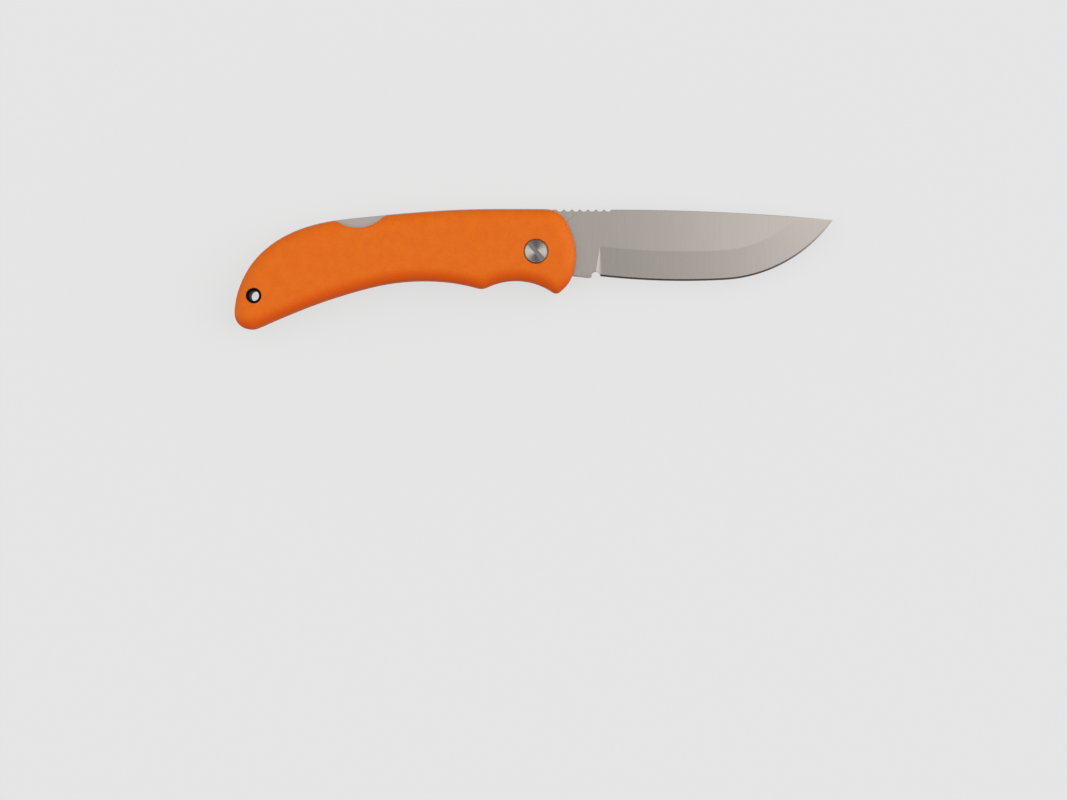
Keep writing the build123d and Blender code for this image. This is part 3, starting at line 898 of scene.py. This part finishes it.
        ladder = self.between(parts["back"], parts["belly"][::-1], self.EDGE_STEPS)
        lay(ladder, self.top(ladder))
        lay(ladder, np.full(ladder.shape[:2], inner))
        front = np.vstack([parts["front"][:-1], ladder[:-1, 0]])
        rear = np.vstack([parts["butt"][:-1], ladder[:0:-1, -1]])
        holes = (
            (front, self.layout.pivot, self.pivot_recess, self.pivot_bore, self.pivot_seat),
            (rear, self.layout.tube, self.tube_recess, self.tube_bore, self.tube_seat),
        )
        for border, centre, recess, bore, seat in holes:
            outwards = unit(border - centre)
            face = self.between(border, centre + recess * outwards, self.LIP_STEPS)
            lay(face, self.top(face), wrap=True)
            wide, narrow = face[-1], centre + bore * outwards
            levels = [self.top(wide)] + [np.full(len(wide), z) for z in (outer - seat, outer - seat, inner)]
            lay(np.stack([wide, wide, narrow, narrow]), np.stack(levels), wrap=True)
            under = narrow + np.linspace(0, 1, self.UNDER_ROWS)[:, None, None] * (border - narrow)
            lay(under, np.full(under.shape[:2], inner), wrap=True)
        rise = np.linspace(0, 1, self.WALL_ROWS)[:, None]
        for stretch in parts.values():
            wall = np.repeat(stretch[None], self.WALL_ROWS, axis=0)
            lay(wall, inner + rise * (self.top(stretch) - inner))
        return surface


# ---- Blade ----
@dataclass
class Blade:
    """The ground blade: round tang, thumb notches, choil, plunge, flat grind and edge bevel."""

    layout: Layout
    half: float = 1.25  # half the thickness
    tip: tuple[float, float] = (91.5, 9.9)
    spine_y: float = 13.05
    fall_x: float = 23.5  # from here the spine falls in one arc to the point
    low_x: float = 45.6  # lowest place of the edge
    low_y: float = -8.84
    long_radius: float = 230.0
    sweep_x: float = 58.0  # from here the edge sweeps up in one arc to the point
    stop_x: float = 3.35
    tang_radius: float = 4.2
    bore: float = 2.55
    under_bend: tuple[float, float] = (9.0, -7.15)  # the underside flattens here
    kick: tuple[float, float] = (16.2, -8.0)
    kick_radius: float = 2.5
    choil: tuple[float, float] = (18.45, -7.4)
    choil_radius: float = 1.35
    choil_wall: float = 0.965  # share of that radius from its centre back to where the kick ends
    choil_sides: float = 0.95  # share of that radius over which it is cut behind its centre
    choil_from: float = 18.5  # degrees round its arc, from the rear, at which its columns start
    heel_x: float = 19.7
    plunge_run: float = 1.5
    plunge_fillet: float = 0.9  # reach of the hollow between plunge and ground face, at the edge
    corner_radius: float = 0.45  # of the kick, where the choil cuts it
    notch_x: float = 7.4
    notch_pitch: float = 2.467
    notch_count: int = 7
    notch_radius: float = 1.1
    notch_depth: float = 0.6
    grind_height: float = 9.1
    shoulder: float = 0.25  # half the thickness where the grind meets the bevel
    bevel_height: float = 0.55
    edge_half: float = 0.04
    edge_round: float = 0.12  # all the other edges
    join_x: float = 13.56  # the tang's fan of lines meets the blade's columns here

    NEAR = np.array([0, 0.008, 0.03, 0.065, 0.12, 0.2])
    TANG_POINTS = {"notched": 90, "spine": 12, "stop": 28, "round": 60, "under": 28, "kick": 14}
    CORNER_COLUMNS, CHOIL_COLUMNS, POINT_COLUMNS = 10, 44, 26
    UPPER_ROWS, GROUND_ROWS, BEVEL_ROWS, TANG_ROWS = 9, 11, 2, 9

    def __post_init__(self) -> None:
        """Works out the arcs that follow from the sizes."""
        self.wall_x = self.choil[0] - self.choil_wall * self.choil_radius
        run, fall = self.tip[0] - self.fall_x, self.spine_y - self.tip[1]
        self.fall_radius = (run**2 + fall**2) / (2 * fall)
        slope = (self.sweep_x - self.low_x) / self.long_radius
        self.along = np.array([math.sqrt(1 - slope**2), slope])
        inward = np.array([-self.along[1], self.along[0]])
        before_sweep = 1e-9  # keeps the sweep's start on the nearly straight arc
        start = np.array([self.sweep_x, self.long_height(self.sweep_x - before_sweep)])
        to_tip = np.array(self.tip) - start
        self.sweep_start = start
        self.sweep_radius = float(to_tip @ to_tip / (2 * to_tip @ inward))
        self.sweep_centre = start + self.sweep_radius * inward
        self.heel = np.array([self.heel_x, self.long_height(self.heel_x)])

    def long_height(self, x: float) -> float:
        """Height of the edge's nearly straight arc at a place along the blade."""
        return float(self.edge_line(np.array([x]), 0.0, sweep=False)[0])

    def build(self) -> None:
        """Builds the blade and puts it in the place of the frame's."""
        surface = Surface()
        columns = self.columns()
        top, bottom = self.spine_line(columns), self.belly_line(columns)
        border = np.vstack(
            [np.stack([columns, top], axis=1)[::-1], self.tang_border(), np.stack([columns, bottom], axis=1)]
        )
        self.border = border[: len(border) - int((columns > self.choil[0] + self.choil_radius).sum())]
        rows = self.rows(columns, top, bottom)
        self.lay_both(surface, np.broadcast_to(columns, rows.shape), rows)
        self.lay_tang(surface, rows[:, 0])
        finish = WorkedSteel(
            "stainless_belt_ground_blade",
            colour="98928C",
            grain=Grain.ACROSS,
            line_length_mm=18.0,
            roughness=0.27,
            spread=0.6,
            contrast=0.035,
            # painted reflection: the blade is lighter towards its point
            painted_reflection_far="B3ABA5",
            near_x=float(self.layout.pivot[0]) + 15.0,
            far_x=float(self.layout.pivot[0]) + 85.0,
        ).material()
        piece = surface.piece("ground_blade", finish, sharp=27)
        stand_in(piece, "blade", "blade")

    def spine_line(self, x: np.ndarray) -> np.ndarray:
        """Height of the spine: straight, then one falling arc, with round notches cut from it."""
        drop = self.fall_radius - np.sqrt(self.fall_radius**2 - np.maximum(x - self.fall_x, 0) ** 2)
        count = np.clip(np.round((x - self.notch_x) / self.notch_pitch), 0, self.notch_count - 1)
        off = np.minimum(np.abs(x - self.notch_x - count * self.notch_pitch), self.notch_radius)
        middle = self.spine_y - self.notch_depth + self.notch_radius
        return np.minimum(self.spine_y - drop, middle - np.sqrt(self.notch_radius**2 - off**2))

    def edge_line(self, x: np.ndarray, inset: float, sweep: bool = True) -> np.ndarray:
        """Height of the line that lies inset from the cutting edge, on its two arcs.

        Each arc is drawn again about the same centre with its radius less by the inset. Past the
        sweep's own reach there is no line, and the height is as high as can be.
        """
        radius = self.long_radius - inset
        long = self.low_y + self.long_radius - np.sqrt(np.maximum(radius**2 - (x - self.low_x) ** 2, 0))
        if not sweep:
            return long
        across = (self.sweep_radius - inset) ** 2 - (x - self.sweep_centre[0]) ** 2
        swept = np.where(across > 0, self.sweep_centre[1] - np.sqrt(np.maximum(across, 0)), np.inf)
        return np.where(x < self.sweep_x - inset * self.along[1], long, swept)

    def belly_line(self, x: np.ndarray) -> np.ndarray:
        """Height of the underside: the tang's straight, the rounded kick, the choil and the edge."""
        kick = np.array(self.kick)
        under = unit(kick - self.under_bend)
        ricasso = unit(self.heel - kick)
        y = np.maximum(
            kick[1] + (x - kick[0]) * under[1] / under[0], kick[1] + (x - kick[0]) * ricasso[1] / ricasso[0]
        )
        bend = math.acos(float(under @ ricasso))
        middle = kick + unit(ricasso - under) * self.kick_radius / math.cos(bend / 2)
        reach = self.kick_radius * math.tan(bend / 2)
        rounded = (x > kick[0] - reach * under[0]) & (x < kick[0] + reach * ricasso[0])
        off = np.minimum(np.abs(x - middle[0]), self.kick_radius)
        y = np.where(rounded, middle[1] - np.sqrt(self.kick_radius**2 - off**2), y)
        off = np.clip(x - self.wall_x + self.corner_radius, 0, self.corner_radius)
        y = y + self.corner_radius - np.sqrt(self.corner_radius**2 - off**2)
        off = np.minimum(np.abs(x - self.choil[0]), self.choil_radius)
        notch = self.choil[1] + np.sqrt(self.choil_radius**2 - off**2)
        in_choil = np.abs(x - self.choil[0]) < self.choil_radius * self.choil_sides
        ahead = x > self.choil[0]
        y = np.where(in_choil | (ahead & (off < self.choil_radius)), np.maximum(y, notch), y)
        return np.where(x >= self.choil[0] + self.choil_radius, self.edge_line(x, 0.0), y)

    def tang_foot(self) -> np.ndarray:
        """Where the straight underside leaves the round tang at a tangent."""
        lean = math.atan2(self.under_bend[1], self.under_bend[0])
        angle = lean - math.acos(self.tang_radius / math.hypot(*self.under_bend))
        return self.tang_radius * np.array([math.cos(angle), math.sin(angle)])

    def tang_border(self) -> np.ndarray:
        """Outline of the tang from the spine's front end round to the columns' underside."""
        foot, count = self.tang_foot(), self.TANG_POINTS
        low = math.sqrt(self.tang_radius**2 - self.stop_x**2)
        past_notch = self.notch_x - 1.0
        notched = np.linspace(self.join_x, past_notch, count["notched"], endpoint=False)
        x = np.concatenate([notched, np.linspace(past_notch, self.stop_x, count["spine"])])
        spine = np.stack([x, self.spine_line(x)], axis=1)
        y = np.linspace(self.spine_y, low, count["stop"])
        stop = np.stack([np.full_like(y, self.stop_x), y], axis=1)
        last_turn = math.atan2(foot[1], foot[0]) + 2 * math.pi
        turn = np.linspace(math.atan2(low, self.stop_x), last_turn, count["round"])
        round_tang = self.tang_radius * np.stack([np.cos(turn), np.sin(turn)], axis=1)
        end = np.array([self.join_x, float(self.belly_line(np.array([self.join_x]))[0])])
        bend = np.array(self.under_bend)
        under = evenly(np.vstack([foot, bend]), count["under"])
        kick = evenly(np.vstack([bend, end]), count["kick"])
        return np.vstack([spine[1:], stop[1:], round_tang[1:], under[1:-1], kick[:-1]])

    def columns(self) -> np.ndarray:
        """Stations along the blade, close together at the notches, the choil, the plunge and the point."""
        last_notch = self.notch_x + (self.notch_count - 1) * self.notch_pitch + self.notch_radius
        notches_end = last_notch + 0.2
        sweep_columns, point_run = 72.0, 2.5
        turn = np.linspace(math.radians(self.choil_from), math.pi, self.CHOIL_COLUMNS)
        corner_turn = np.linspace(0, math.pi / 2, self.CORNER_COLUMNS)
        closest = 0.004  # columns nearer together than this are one
        sets = [
            np.arange(self.join_x, notches_end, 0.09),
            self.choil[0] - self.choil_radius * np.cos(turn),
            self.wall_x - self.corner_radius * (1 - np.sin(corner_turn)),
            self.heel_x + np.array([-0.12, -0.05, -0.02, 0, 0.02, 0.05, 0.12]),
            self.heel_x + np.arange(0.2, 2 * self.plunge_fillet, 0.1),
            np.arange(notches_end, sweep_columns, 0.45),
            np.arange(sweep_columns, self.tip[0] - point_run, 0.3),
            self.tip[0] - point_run * np.linspace(1, 0, self.POINT_COLUMNS) ** 1.5,
        ]
        x = np.unique(np.round(np.concatenate(sets), 5))
        return x[np.concatenate([[True], np.diff(x) > closest])]

    def rows(self, x: np.ndarray, top: np.ndarray, bottom: np.ndarray) -> np.ndarray:
        """Heights of the rows: spine to grind line, to bevel line, to edge.

        Behind the heel the grind line is the plunge's upper boundary, where the plunge's plane
        comes up to the blade's flat.
        """
        plunge = self.heel[1] + self.grind_height * (1 - (self.heel_x - x) / self.plunge_run)
        grind = np.where(x < self.heel_x, plunge, self.edge_line(x, self.grind_height))
        grind = np.clip(grind, bottom, top)
        bevel = np.clip(self.edge_line(x, self.bevel_height), bottom, grind)
        line = np.array([0, 0.02, 0.06])
        upper = top - spread(top - grind, self.NEAR, np.append(line, 0.15), self.UPPER_ROWS)
        ground = grind - spread(grind - bevel, line, line, self.GROUND_ROWS)
        edge = bevel - spread(bevel - bottom, line[:2], line[:2], self.BEVEL_ROWS)
        return np.concatenate([upper, ground[1:], edge[1:]])

    def thickness(self, x: np.ndarray, y: np.ndarray) -> np.ndarray:
        """Half the blade's thickness over places in side view.

        It is the least of the flat and of the ground face, which rises evenly with the distance
        from the edge, or of the plunge's plane where that is higher, and of the edge bevel within
        its height. A hollow joins plunge and ground face: where their heights differ by less than
        the reach, the face is raised by the rest squared over four times the reach. Edges other
        than the cutting edge are rounded off.
        """
        long = self.long_radius - np.hypot(x - self.low_x, y - self.low_y - self.long_radius)
        swept = self.sweep_radius - np.hypot(x - self.sweep_centre[0], y - self.sweep_centre[1])
        behind = (x - self.sweep_start[0]) * self.along[0] + (y - self.sweep_start[1]) * self.along[1] < 0
        inset = np.where(behind, long, swept)
        depth = self.half - self.shoulder
        ground = self.shoulder + depth * inset / self.grind_height
        plunge = self.shoulder - depth / self.plunge_run * (x - self.heel_x)
        plunge = plunge + depth / self.grind_height * (y - self.heel[1])
        reach = self.plunge_fillet * depth / self.plunge_run * np.clip(1 - inset / self.grind_height, 0.01, 1)
        hollow = np.maximum(reach - np.abs(ground - plunge), 0) ** 2 / (4 * reach)
        face = np.minimum(self.half, np.maximum(ground, plunge) + hollow)
        bevel_top = self.shoulder + depth * self.bevel_height / self.grind_height
        bevel = self.edge_half + (bevel_top - self.edge_half) * inset / self.bevel_height
        in_bevel = (inset < self.bevel_height) & (x > self.choil[0])
        face = np.where(in_bevel, np.minimum(face, np.maximum(bevel, self.edge_half)), face)
        places = np.stack([x.ravel(), y.ravel()], axis=1)
        off = distance_to(places, self.border, closed=False).reshape(x.shape)
        return face - round_off(off, self.edge_round, self.edge_round) * face / self.half

    def place(self, x: np.ndarray, y: np.ndarray, z: np.ndarray) -> np.ndarray:
        """Points in the knife's place, from sizes measured from the pivot."""
        return np.stack([x + self.layout.pivot[0], y + self.layout.pivot[1], z + self.layout.middle], axis=-1)

    def lay_both(self, surface: Surface, x: np.ndarray, y: np.ndarray) -> None:
        """Adds front face, edge, back face and spine as one ring of rows for each column."""
        z = self.thickness(x, y)
        ring = np.concatenate([self.place(x, y, z), self.place(x, y, -z)[::-1]])
        surface.grid(ring.transpose(1, 0, 2), wrap=True)

    def lay_tang(self, surface: Surface, first_column: np.ndarray) -> None:
        """Adds the tang: lines from its outline, or from the first column, to the pivot's bore."""
        top, bottom = [self.join_x, first_column[0]], [self.join_x, first_column[-1]]
        outline = np.vstack([top, self.tang_border(), bottom])
        joint = np.stack([np.full(len(first_column), self.join_x), first_column], axis=1)
        border = np.vstack([outline, joint[-2:0:-1]])
        rim = self.bore * unit(border)
        length = np.linalg.norm(border - rim, axis=1)
        steps = spread(length, self.NEAR, self.NEAR[:3], self.TANG_ROWS)
        face = border + (steps / length)[..., None] * (rim - border)
        z = self.thickness(face[..., 0], face[..., 1])
        front, back = self.place(*np.moveaxis(face, -1, 0), z), self.place(*np.moveaxis(face, -1, 0), -z)
        surface.grid(front, wrap=True)
        surface.grid(back, wrap=True)
        surface.grid(np.stack([front[-1], back[-1]]), wrap=True)
        surface.grid(np.stack([front[0, : len(outline)], back[0, : len(outline)]]))


# ---- Pivot ----
@dataclass
class Pivot:
    """The turned barrel and the screw that closes it, each with a slotted head."""

    layout: Layout
    head_radius: float = 3.55
    head_top: float = 7.05  # above the blade's middle
    head_seat: float = 5.95
    head_chamfer: float = 0.2
    slot_half: float = 0.6  # half the width of the screwdriver slot
    slot_depth: float = 0.6
    slot_lean: float = -50.0  # degrees from the knife's length
    slot_round: float = 0.08
    barrel_radius: float = 2.5
    barrel_end: float = -5.85
    thread_radius: float = 1.55
    thread_end: float = 0.65
    shank_radius: float = 1.5
    shank_end: float = 0.05
    edge_round: float = 0.12
    overlap: float = 0.1  # of shank and head, inside the metal

    ROUND_COLUMNS, SLOT_COLUMNS, HEAD_ROWS = 34, 9, 16

    def build(self) -> None:
        """Builds both pieces and puts them in the place of the frame's."""
        finish = FacedSteel(
            "stainless_faced_pivot",
            axis=tuple(float(v) for v in self.layout.pivot),
            middle=float(self.layout.middle),
        ).material()
        barrel, screw = self.head(), self.head().mirrored(self.layout.middle)
        level, inside = self.layout.middle, self.head_seat + self.overlap
        hollow = [
            (0, inside),
            (self.barrel_radius, inside),
            (self.barrel_radius, self.barrel_end),
            (self.thread_radius, self.barrel_end),
            (self.thread_radius, self.thread_end),
            (0, self.thread_end),
        ]
        shank = [
            (0, -inside),
            (self.shank_radius, -inside),
            (self.shank_radius, self.shank_end),
            (0, self.shank_end),
        ]
        for surface, profile in ((barrel, hollow), (screw, shank)):
            rounded = eased(np.array(profile), self.edge_round, closed=False) + (0, level)
            surface.turned(rounded, self.layout.pivot, RING_POINTS, closed=False)
        stand_in(barrel.piece("pivot_barrel_turned", finish), "pivot_barrel", "handle")
        stand_in(screw.piece("pivot_screw_turned", finish), "pivot_screw", "handle")

    def head(self) -> Surface:
        """The front head: a chamfered disc with a straight slot.

        Columns lie square to the slot at t and reach from -s to s along it, with s the root of
        radius squared less t squared. The slot's walls are two columns at the same t.

        Returns:
            Its closed shell.
        """
        radius, half = self.head_radius, self.slot_half
        angle = np.linspace(math.asin(half / radius), math.pi / 2, self.ROUND_COLUMNS)
        side = np.unique(np.concatenate([half + np.array([0, 0.01, 0.03, 0.08]), radius * np.sin(angle)]))
        t = np.concatenate([-side[::-1], np.linspace(-half, half, self.SLOT_COLUMNS), side])
        in_slot = np.zeros(len(t), bool)
        in_slot[len(side) : -len(side)] = True
        reach = np.sqrt(np.maximum(radius**2 - t**2, 0))
        near = np.array([0, 0.02, 0.06, 0.12, 0.18, 0.24])
        s = reach - spread(2 * reach, near, near, self.HEAD_ROWS)
        t = np.broadcast_to(t, s.shape)
        rim = np.maximum(radius - np.hypot(s, t), 0)
        drop = np.maximum(self.head_chamfer - rim, 0)
        drop = drop + round_off(np.abs(t) - half, self.slot_round, self.slot_round)
        z = np.where(in_slot, self.head_top - self.slot_depth, self.head_top - drop)
        lean = math.radians(self.slot_lean)
        x = self.layout.pivot[0] + s * math.cos(lean) - t * math.sin(lean)
        y = self.layout.pivot[1] + s * math.sin(lean) + t * math.cos(lean)
        top = np.stack([x, y, z + self.layout.middle], axis=-1)
        under = np.stack([x, y, np.full_like(x, self.head_seat + self.layout.middle)], axis=-1)
        surface = Surface()
        surface.grid(np.concatenate([top, under[::-1]]).transpose(1, 0, 2), wrap=True)
        return surface


# ---- Lanyard tube ----
@dataclass
class LanyardTube:
    """The dark tube through the butt, with a flared and rolled mouth at each end."""

    layout: Layout
    bore: float = 1.6
    wall: float = 0.4
    lip: float = 2.3
    mouth: float = 2.15  # radius at which the flare ends
    top: float = 7.1  # above the blade's middle
    seat: float = 6.6
    edge_round: float = 0.16

    def build(self) -> None:
        """Builds the tube and puts it in the place of the frame's."""
        outside = self.bore + self.wall
        upper = [
            (self.bore, self.seat),
            (self.mouth, self.top),
            (self.lip, self.top),
            (self.lip, self.seat),
            (outside, self.seat),
        ]
        lower = [(radius, -level) for radius, level in reversed(upper)]
        rounded = eased(np.array(upper + lower), self.edge_round, closed=True, steps=6)
        surface = Surface()
        surface.turned(rounded + (0, self.layout.middle), self.layout.tube, RING_POINTS, closed=True)
        lacquer = Mottled("brass_black_lacquered", colour="070707", worn="0D0D0D", roughness=0.5, gloss=0.03)
        finish = lacquer.material()
        stand_in(surface.piece("lanyard_lining", finish, sharp=45), "lanyard_tube", "handle")


# ---- Lock ----
@dataclass
class LockSpring:
    """The leaf that is held in the spacer and curves up to the lock bar."""

    layout: Layout
    bend: tuple[float, float] = (-64.78, 3.1975)  # where the leaf leaves the spacer
    tail: float = 7.0
    tip: tuple[float, float] = (-44.78, 5.6675)
    thickness: float = 0.9
    half_width: float = 1.25
    edge_round: float = 0.12

    TAIL_POINTS, ARC_POINTS = 15, 40

    def build(self) -> None:
        """Builds the leaf, bends it between handle and bar and puts it in the place of the frame's."""
        bend, tip = np.array(self.bend), np.array(self.tip)
        run, rise = tip - bend
        radius = (run**2 + rise**2) / (2 * rise)
        turn = np.linspace(0, math.asin(run / radius), self.ARC_POINTS)
        arc = bend + radius * np.stack([np.sin(turn), 1 - np.cos(turn)], axis=1)
        tail = evenly(np.vstack([bend - (self.tail, 0), bend]), self.TAIL_POINTS)
        path = np.vstack([tail[:-1], arc])
        corner = np.array([(-1, -1), (1, -1), (1, 1), (-1, 1)]) * (self.thickness / 2, self.half_width)
        section = eased(corner, self.edge_round, closed=True, steps=4)
        points = np.empty((len(path), len(section), 3))
        points[..., 0] = path[:, :1] + self.layout.pivot[0]
        points[..., 1] = path[:, 1:] + section[:, 0] + self.layout.pivot[1]
        points[..., 2] = section[:, 1] + self.layout.middle
        surface = Surface()
        surface.grid(points, wrap=True)
        for ring in (points[0], points[-1]):
            surface.fan(ring, ring.mean(axis=0))
        finish = WorkedSteel("spring_steel_tempered", colour="6E6A66", roughness=0.4).material()
        piece = surface.piece("lock_leaf", finish)
        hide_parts("lock_spring")
        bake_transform(piece)


@dataclass
class PlainParts:
    """The flat and drawn parts whose frame shapes are right: they get finishes and soft edges."""

    edge_mm: float = 0.2  # width of the tumbled edges of plates

    def build(self, nodes: dict) -> None:
        """Dresses the frame's own nodes.

        Args:
            nodes: the frame's objects by name.
        """
        plate = WorkedSteel("stainless_stamped_liner", colour="B4ADA6", roughness=0.33).material()
        lock = WorkedSteel("stainless_ground_lock", colour="ADA69F", line_mm=0.1, roughness=0.3).material()
        pin = WorkedSteel("stainless_drawn_pin", colour="B9B2AC", roughness=0.25, spread=0.2).material()
        rolled = Mottled("bronze_rolled_washer", colour="8A6A3A", worn="A5854E", metallic=1.0, roughness=0.35)
        bronze = rolled.material()
        finishes = {
            "liner_front": plate,
            "liner_back": plate,
            "lock_bar": lock,
            "rear_spacer": lock,
            "lock_bar_pin": pin,
            "spacer_rivet_upper": pin,
            "spacer_rivet_lower": pin,
            "washer_front": bronze,
            "washer_back": bronze,
        }
        for name, finish in finishes.items():
            for slot in nodes[name].material_slots:
                slot.material = finish
            if finish in (plate, lock):
                self.tumble(nodes[name])
            log.info("%s: %s", name, finish.name)

    def tumble(self, node: bpy.types.Object) -> None:
        """Welds a plate's loose triangles and rounds its edges."""
        node.modifiers.new("weld", "WELD").merge_threshold = WELD
        bevel = node.modifiers.new("tumbled", "BEVEL")
        bevel.width = self.edge_mm * MM
        bevel.segments = 2
        bevel.harden_normals = True
        bevel.limit_method = "ANGLE"
        bevel.angle_limit = math.radians(50)


# ---- Stage ----
@dataclass
class Studio:
    """Pale floor, soft light from all round and a camera straight above."""

    floor_grey: str = "E6E6E6"
    own_colour: float = 0.82  # share of the floor that shows its plain colour, so shadows stay faint
    bounce_grey: str = "6E6E6E"  # colour by which the floor lights the knife from below
    floor_half: float = 20.0  # metres from the knife to the floor's sides
    floor_level: float = -0.02  # in millimetres
    camera_height: float = 1.15  # metres above the middle of the knife
    knife_middle: float = 0.0072  # metres above the surface that the knife lies on
    field_width: float = 0.329  # metres across the picture at that distance
    aim: tuple[float, float] = (-0.0002, -0.04026)
    zenith: float = 1.2
    sides: float = 0.9  # added towards +X and -X
    to_point: float = 0.35  # added towards +X alone
    ends: float = -2.4  # added towards +Y and -Y
    to_back: float = 0.55  # added towards +Y alone
    least: float = 0.1
    rim: float = 0.6  # strength near the horizon, all round
    rim_heights: tuple[float, float] = (0.62, 0.3)  # z at which it begins and is full

    def build(self) -> None:
        """Makes the floor, the light and the camera."""
        bpy.context.scene.view_settings.view_transform = "Standard"
        self.floor()
        self.light()
        self.camera()

    def floor(self) -> None:
        """A wide flat floor."""
        line = np.linspace(-self.floor_half, self.floor_half, 2) / MM
        x, y = np.meshgrid(line, line)
        surface = Surface()
        surface.grid(np.stack([x, y, np.full_like(x, self.floor_level)], axis=-1))
        surface.piece("floor", self.floor_paint())

    def floor_paint(self) -> bpy.types.Material:
        """Matt painted board: mostly its own pale colour to the eye, the rest lit and shaded.

        It throws less light up than it shows, so steep sides of the knife stay dim.
        """
        paint = bpy.data.materials.new("painted_board_matt")
        tree = fresh_tree(paint)
        rays = add_node(tree, "LightPath")
        seen = rays.outputs["Is Camera Ray"]
        for kind in ("Is Glossy Ray", "Is Transmission Ray"):
            seen = number(tree, "MAXIMUM", seen, rays.outputs[kind])
        colour = linear(self.floor_grey)
        lit = add_node(tree, "BsdfDiffuse", {"Color": mixed(tree, seen, linear(self.bounce_grey), colour)})
        plain = add_node(tree, "Emission", {"Color": colour, "Strength": 1.0})
        share = number(tree, "MULTIPLY", seen, self.own_colour)
        both = add_node(tree, "MixShader", {0: share, 1: lit.outputs[0], 2: plain.outputs[0]})
        add_node(tree, "OutputMaterial", {"Surface": both.outputs[0]})
        return paint

    def light(self) -> None:
        """A dome of soft light, by the direction (x, y, z) that it comes from.

        Its strength is zenith + sides x^2 + to_point x + ends y^2 + to_back y, and never below
        the least, nor near the horizon below the rim.
        """
        world = bpy.data.worlds.new("soft_dome")
        bpy.context.scene.world = world
        tree = fresh_tree(world)
        way = add_node(tree, "SeparateXYZ", {0: add_node(tree, "TexCoord").outputs["Generated"]})
        total = self.zenith
        for axis, square, plain in ((0, self.sides, self.to_point), (1, self.ends, self.to_back)):
            part = way.outputs[axis]
            factor = number(tree, "MULTIPLY_ADD", part, square, plain)
            total = number(tree, "MULTIPLY_ADD", factor, part, total)
        near_rim = mapped(tree, way.outputs[2], self.rim_heights, (0.0, self.rim), smooth=True)
        strength = number(tree, "MAXIMUM", number(tree, "MAXIMUM", total, self.least), near_rim)
        sky = add_node(tree, "Background", {"Color": grey(1.0), "Strength": strength})
        add_node(tree, "OutputWorld", {"Surface": sky.outputs[0]})

    def camera(self) -> None:
        """Looks straight down, with the back of the knife at the top of the picture."""
        data = bpy.data.cameras.new("camera")
        data.sensor_width = 36.0
        data.lens = data.sensor_width * self.camera_height / self.field_width
        data.clip_start, data.clip_end = 0.05, 50.0
        camera = bpy.data.objects.new("camera", data)
        camera.location = (*self.aim, self.camera_height + self.knife_middle)
        bpy.context.scene.collection.objects.link(camera)
        bpy.context.scene.camera = camera


def main() -> None:
    """Loads the frame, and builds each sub-assembly and the studio."""
    logging.basicConfig(level=logging.INFO, format="%(asctime)s %(message)s")
    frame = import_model()
    layout = Layout.read()
    HandleScales(layout).build(frame)
    Blade(layout).build()
    Pivot(layout).build()
    LanyardTube(layout).build()
    LockSpring(layout).build()
    PlainParts().build(frame["nodes"])
    Studio().build()


if __name__ == "__main__":
    main()
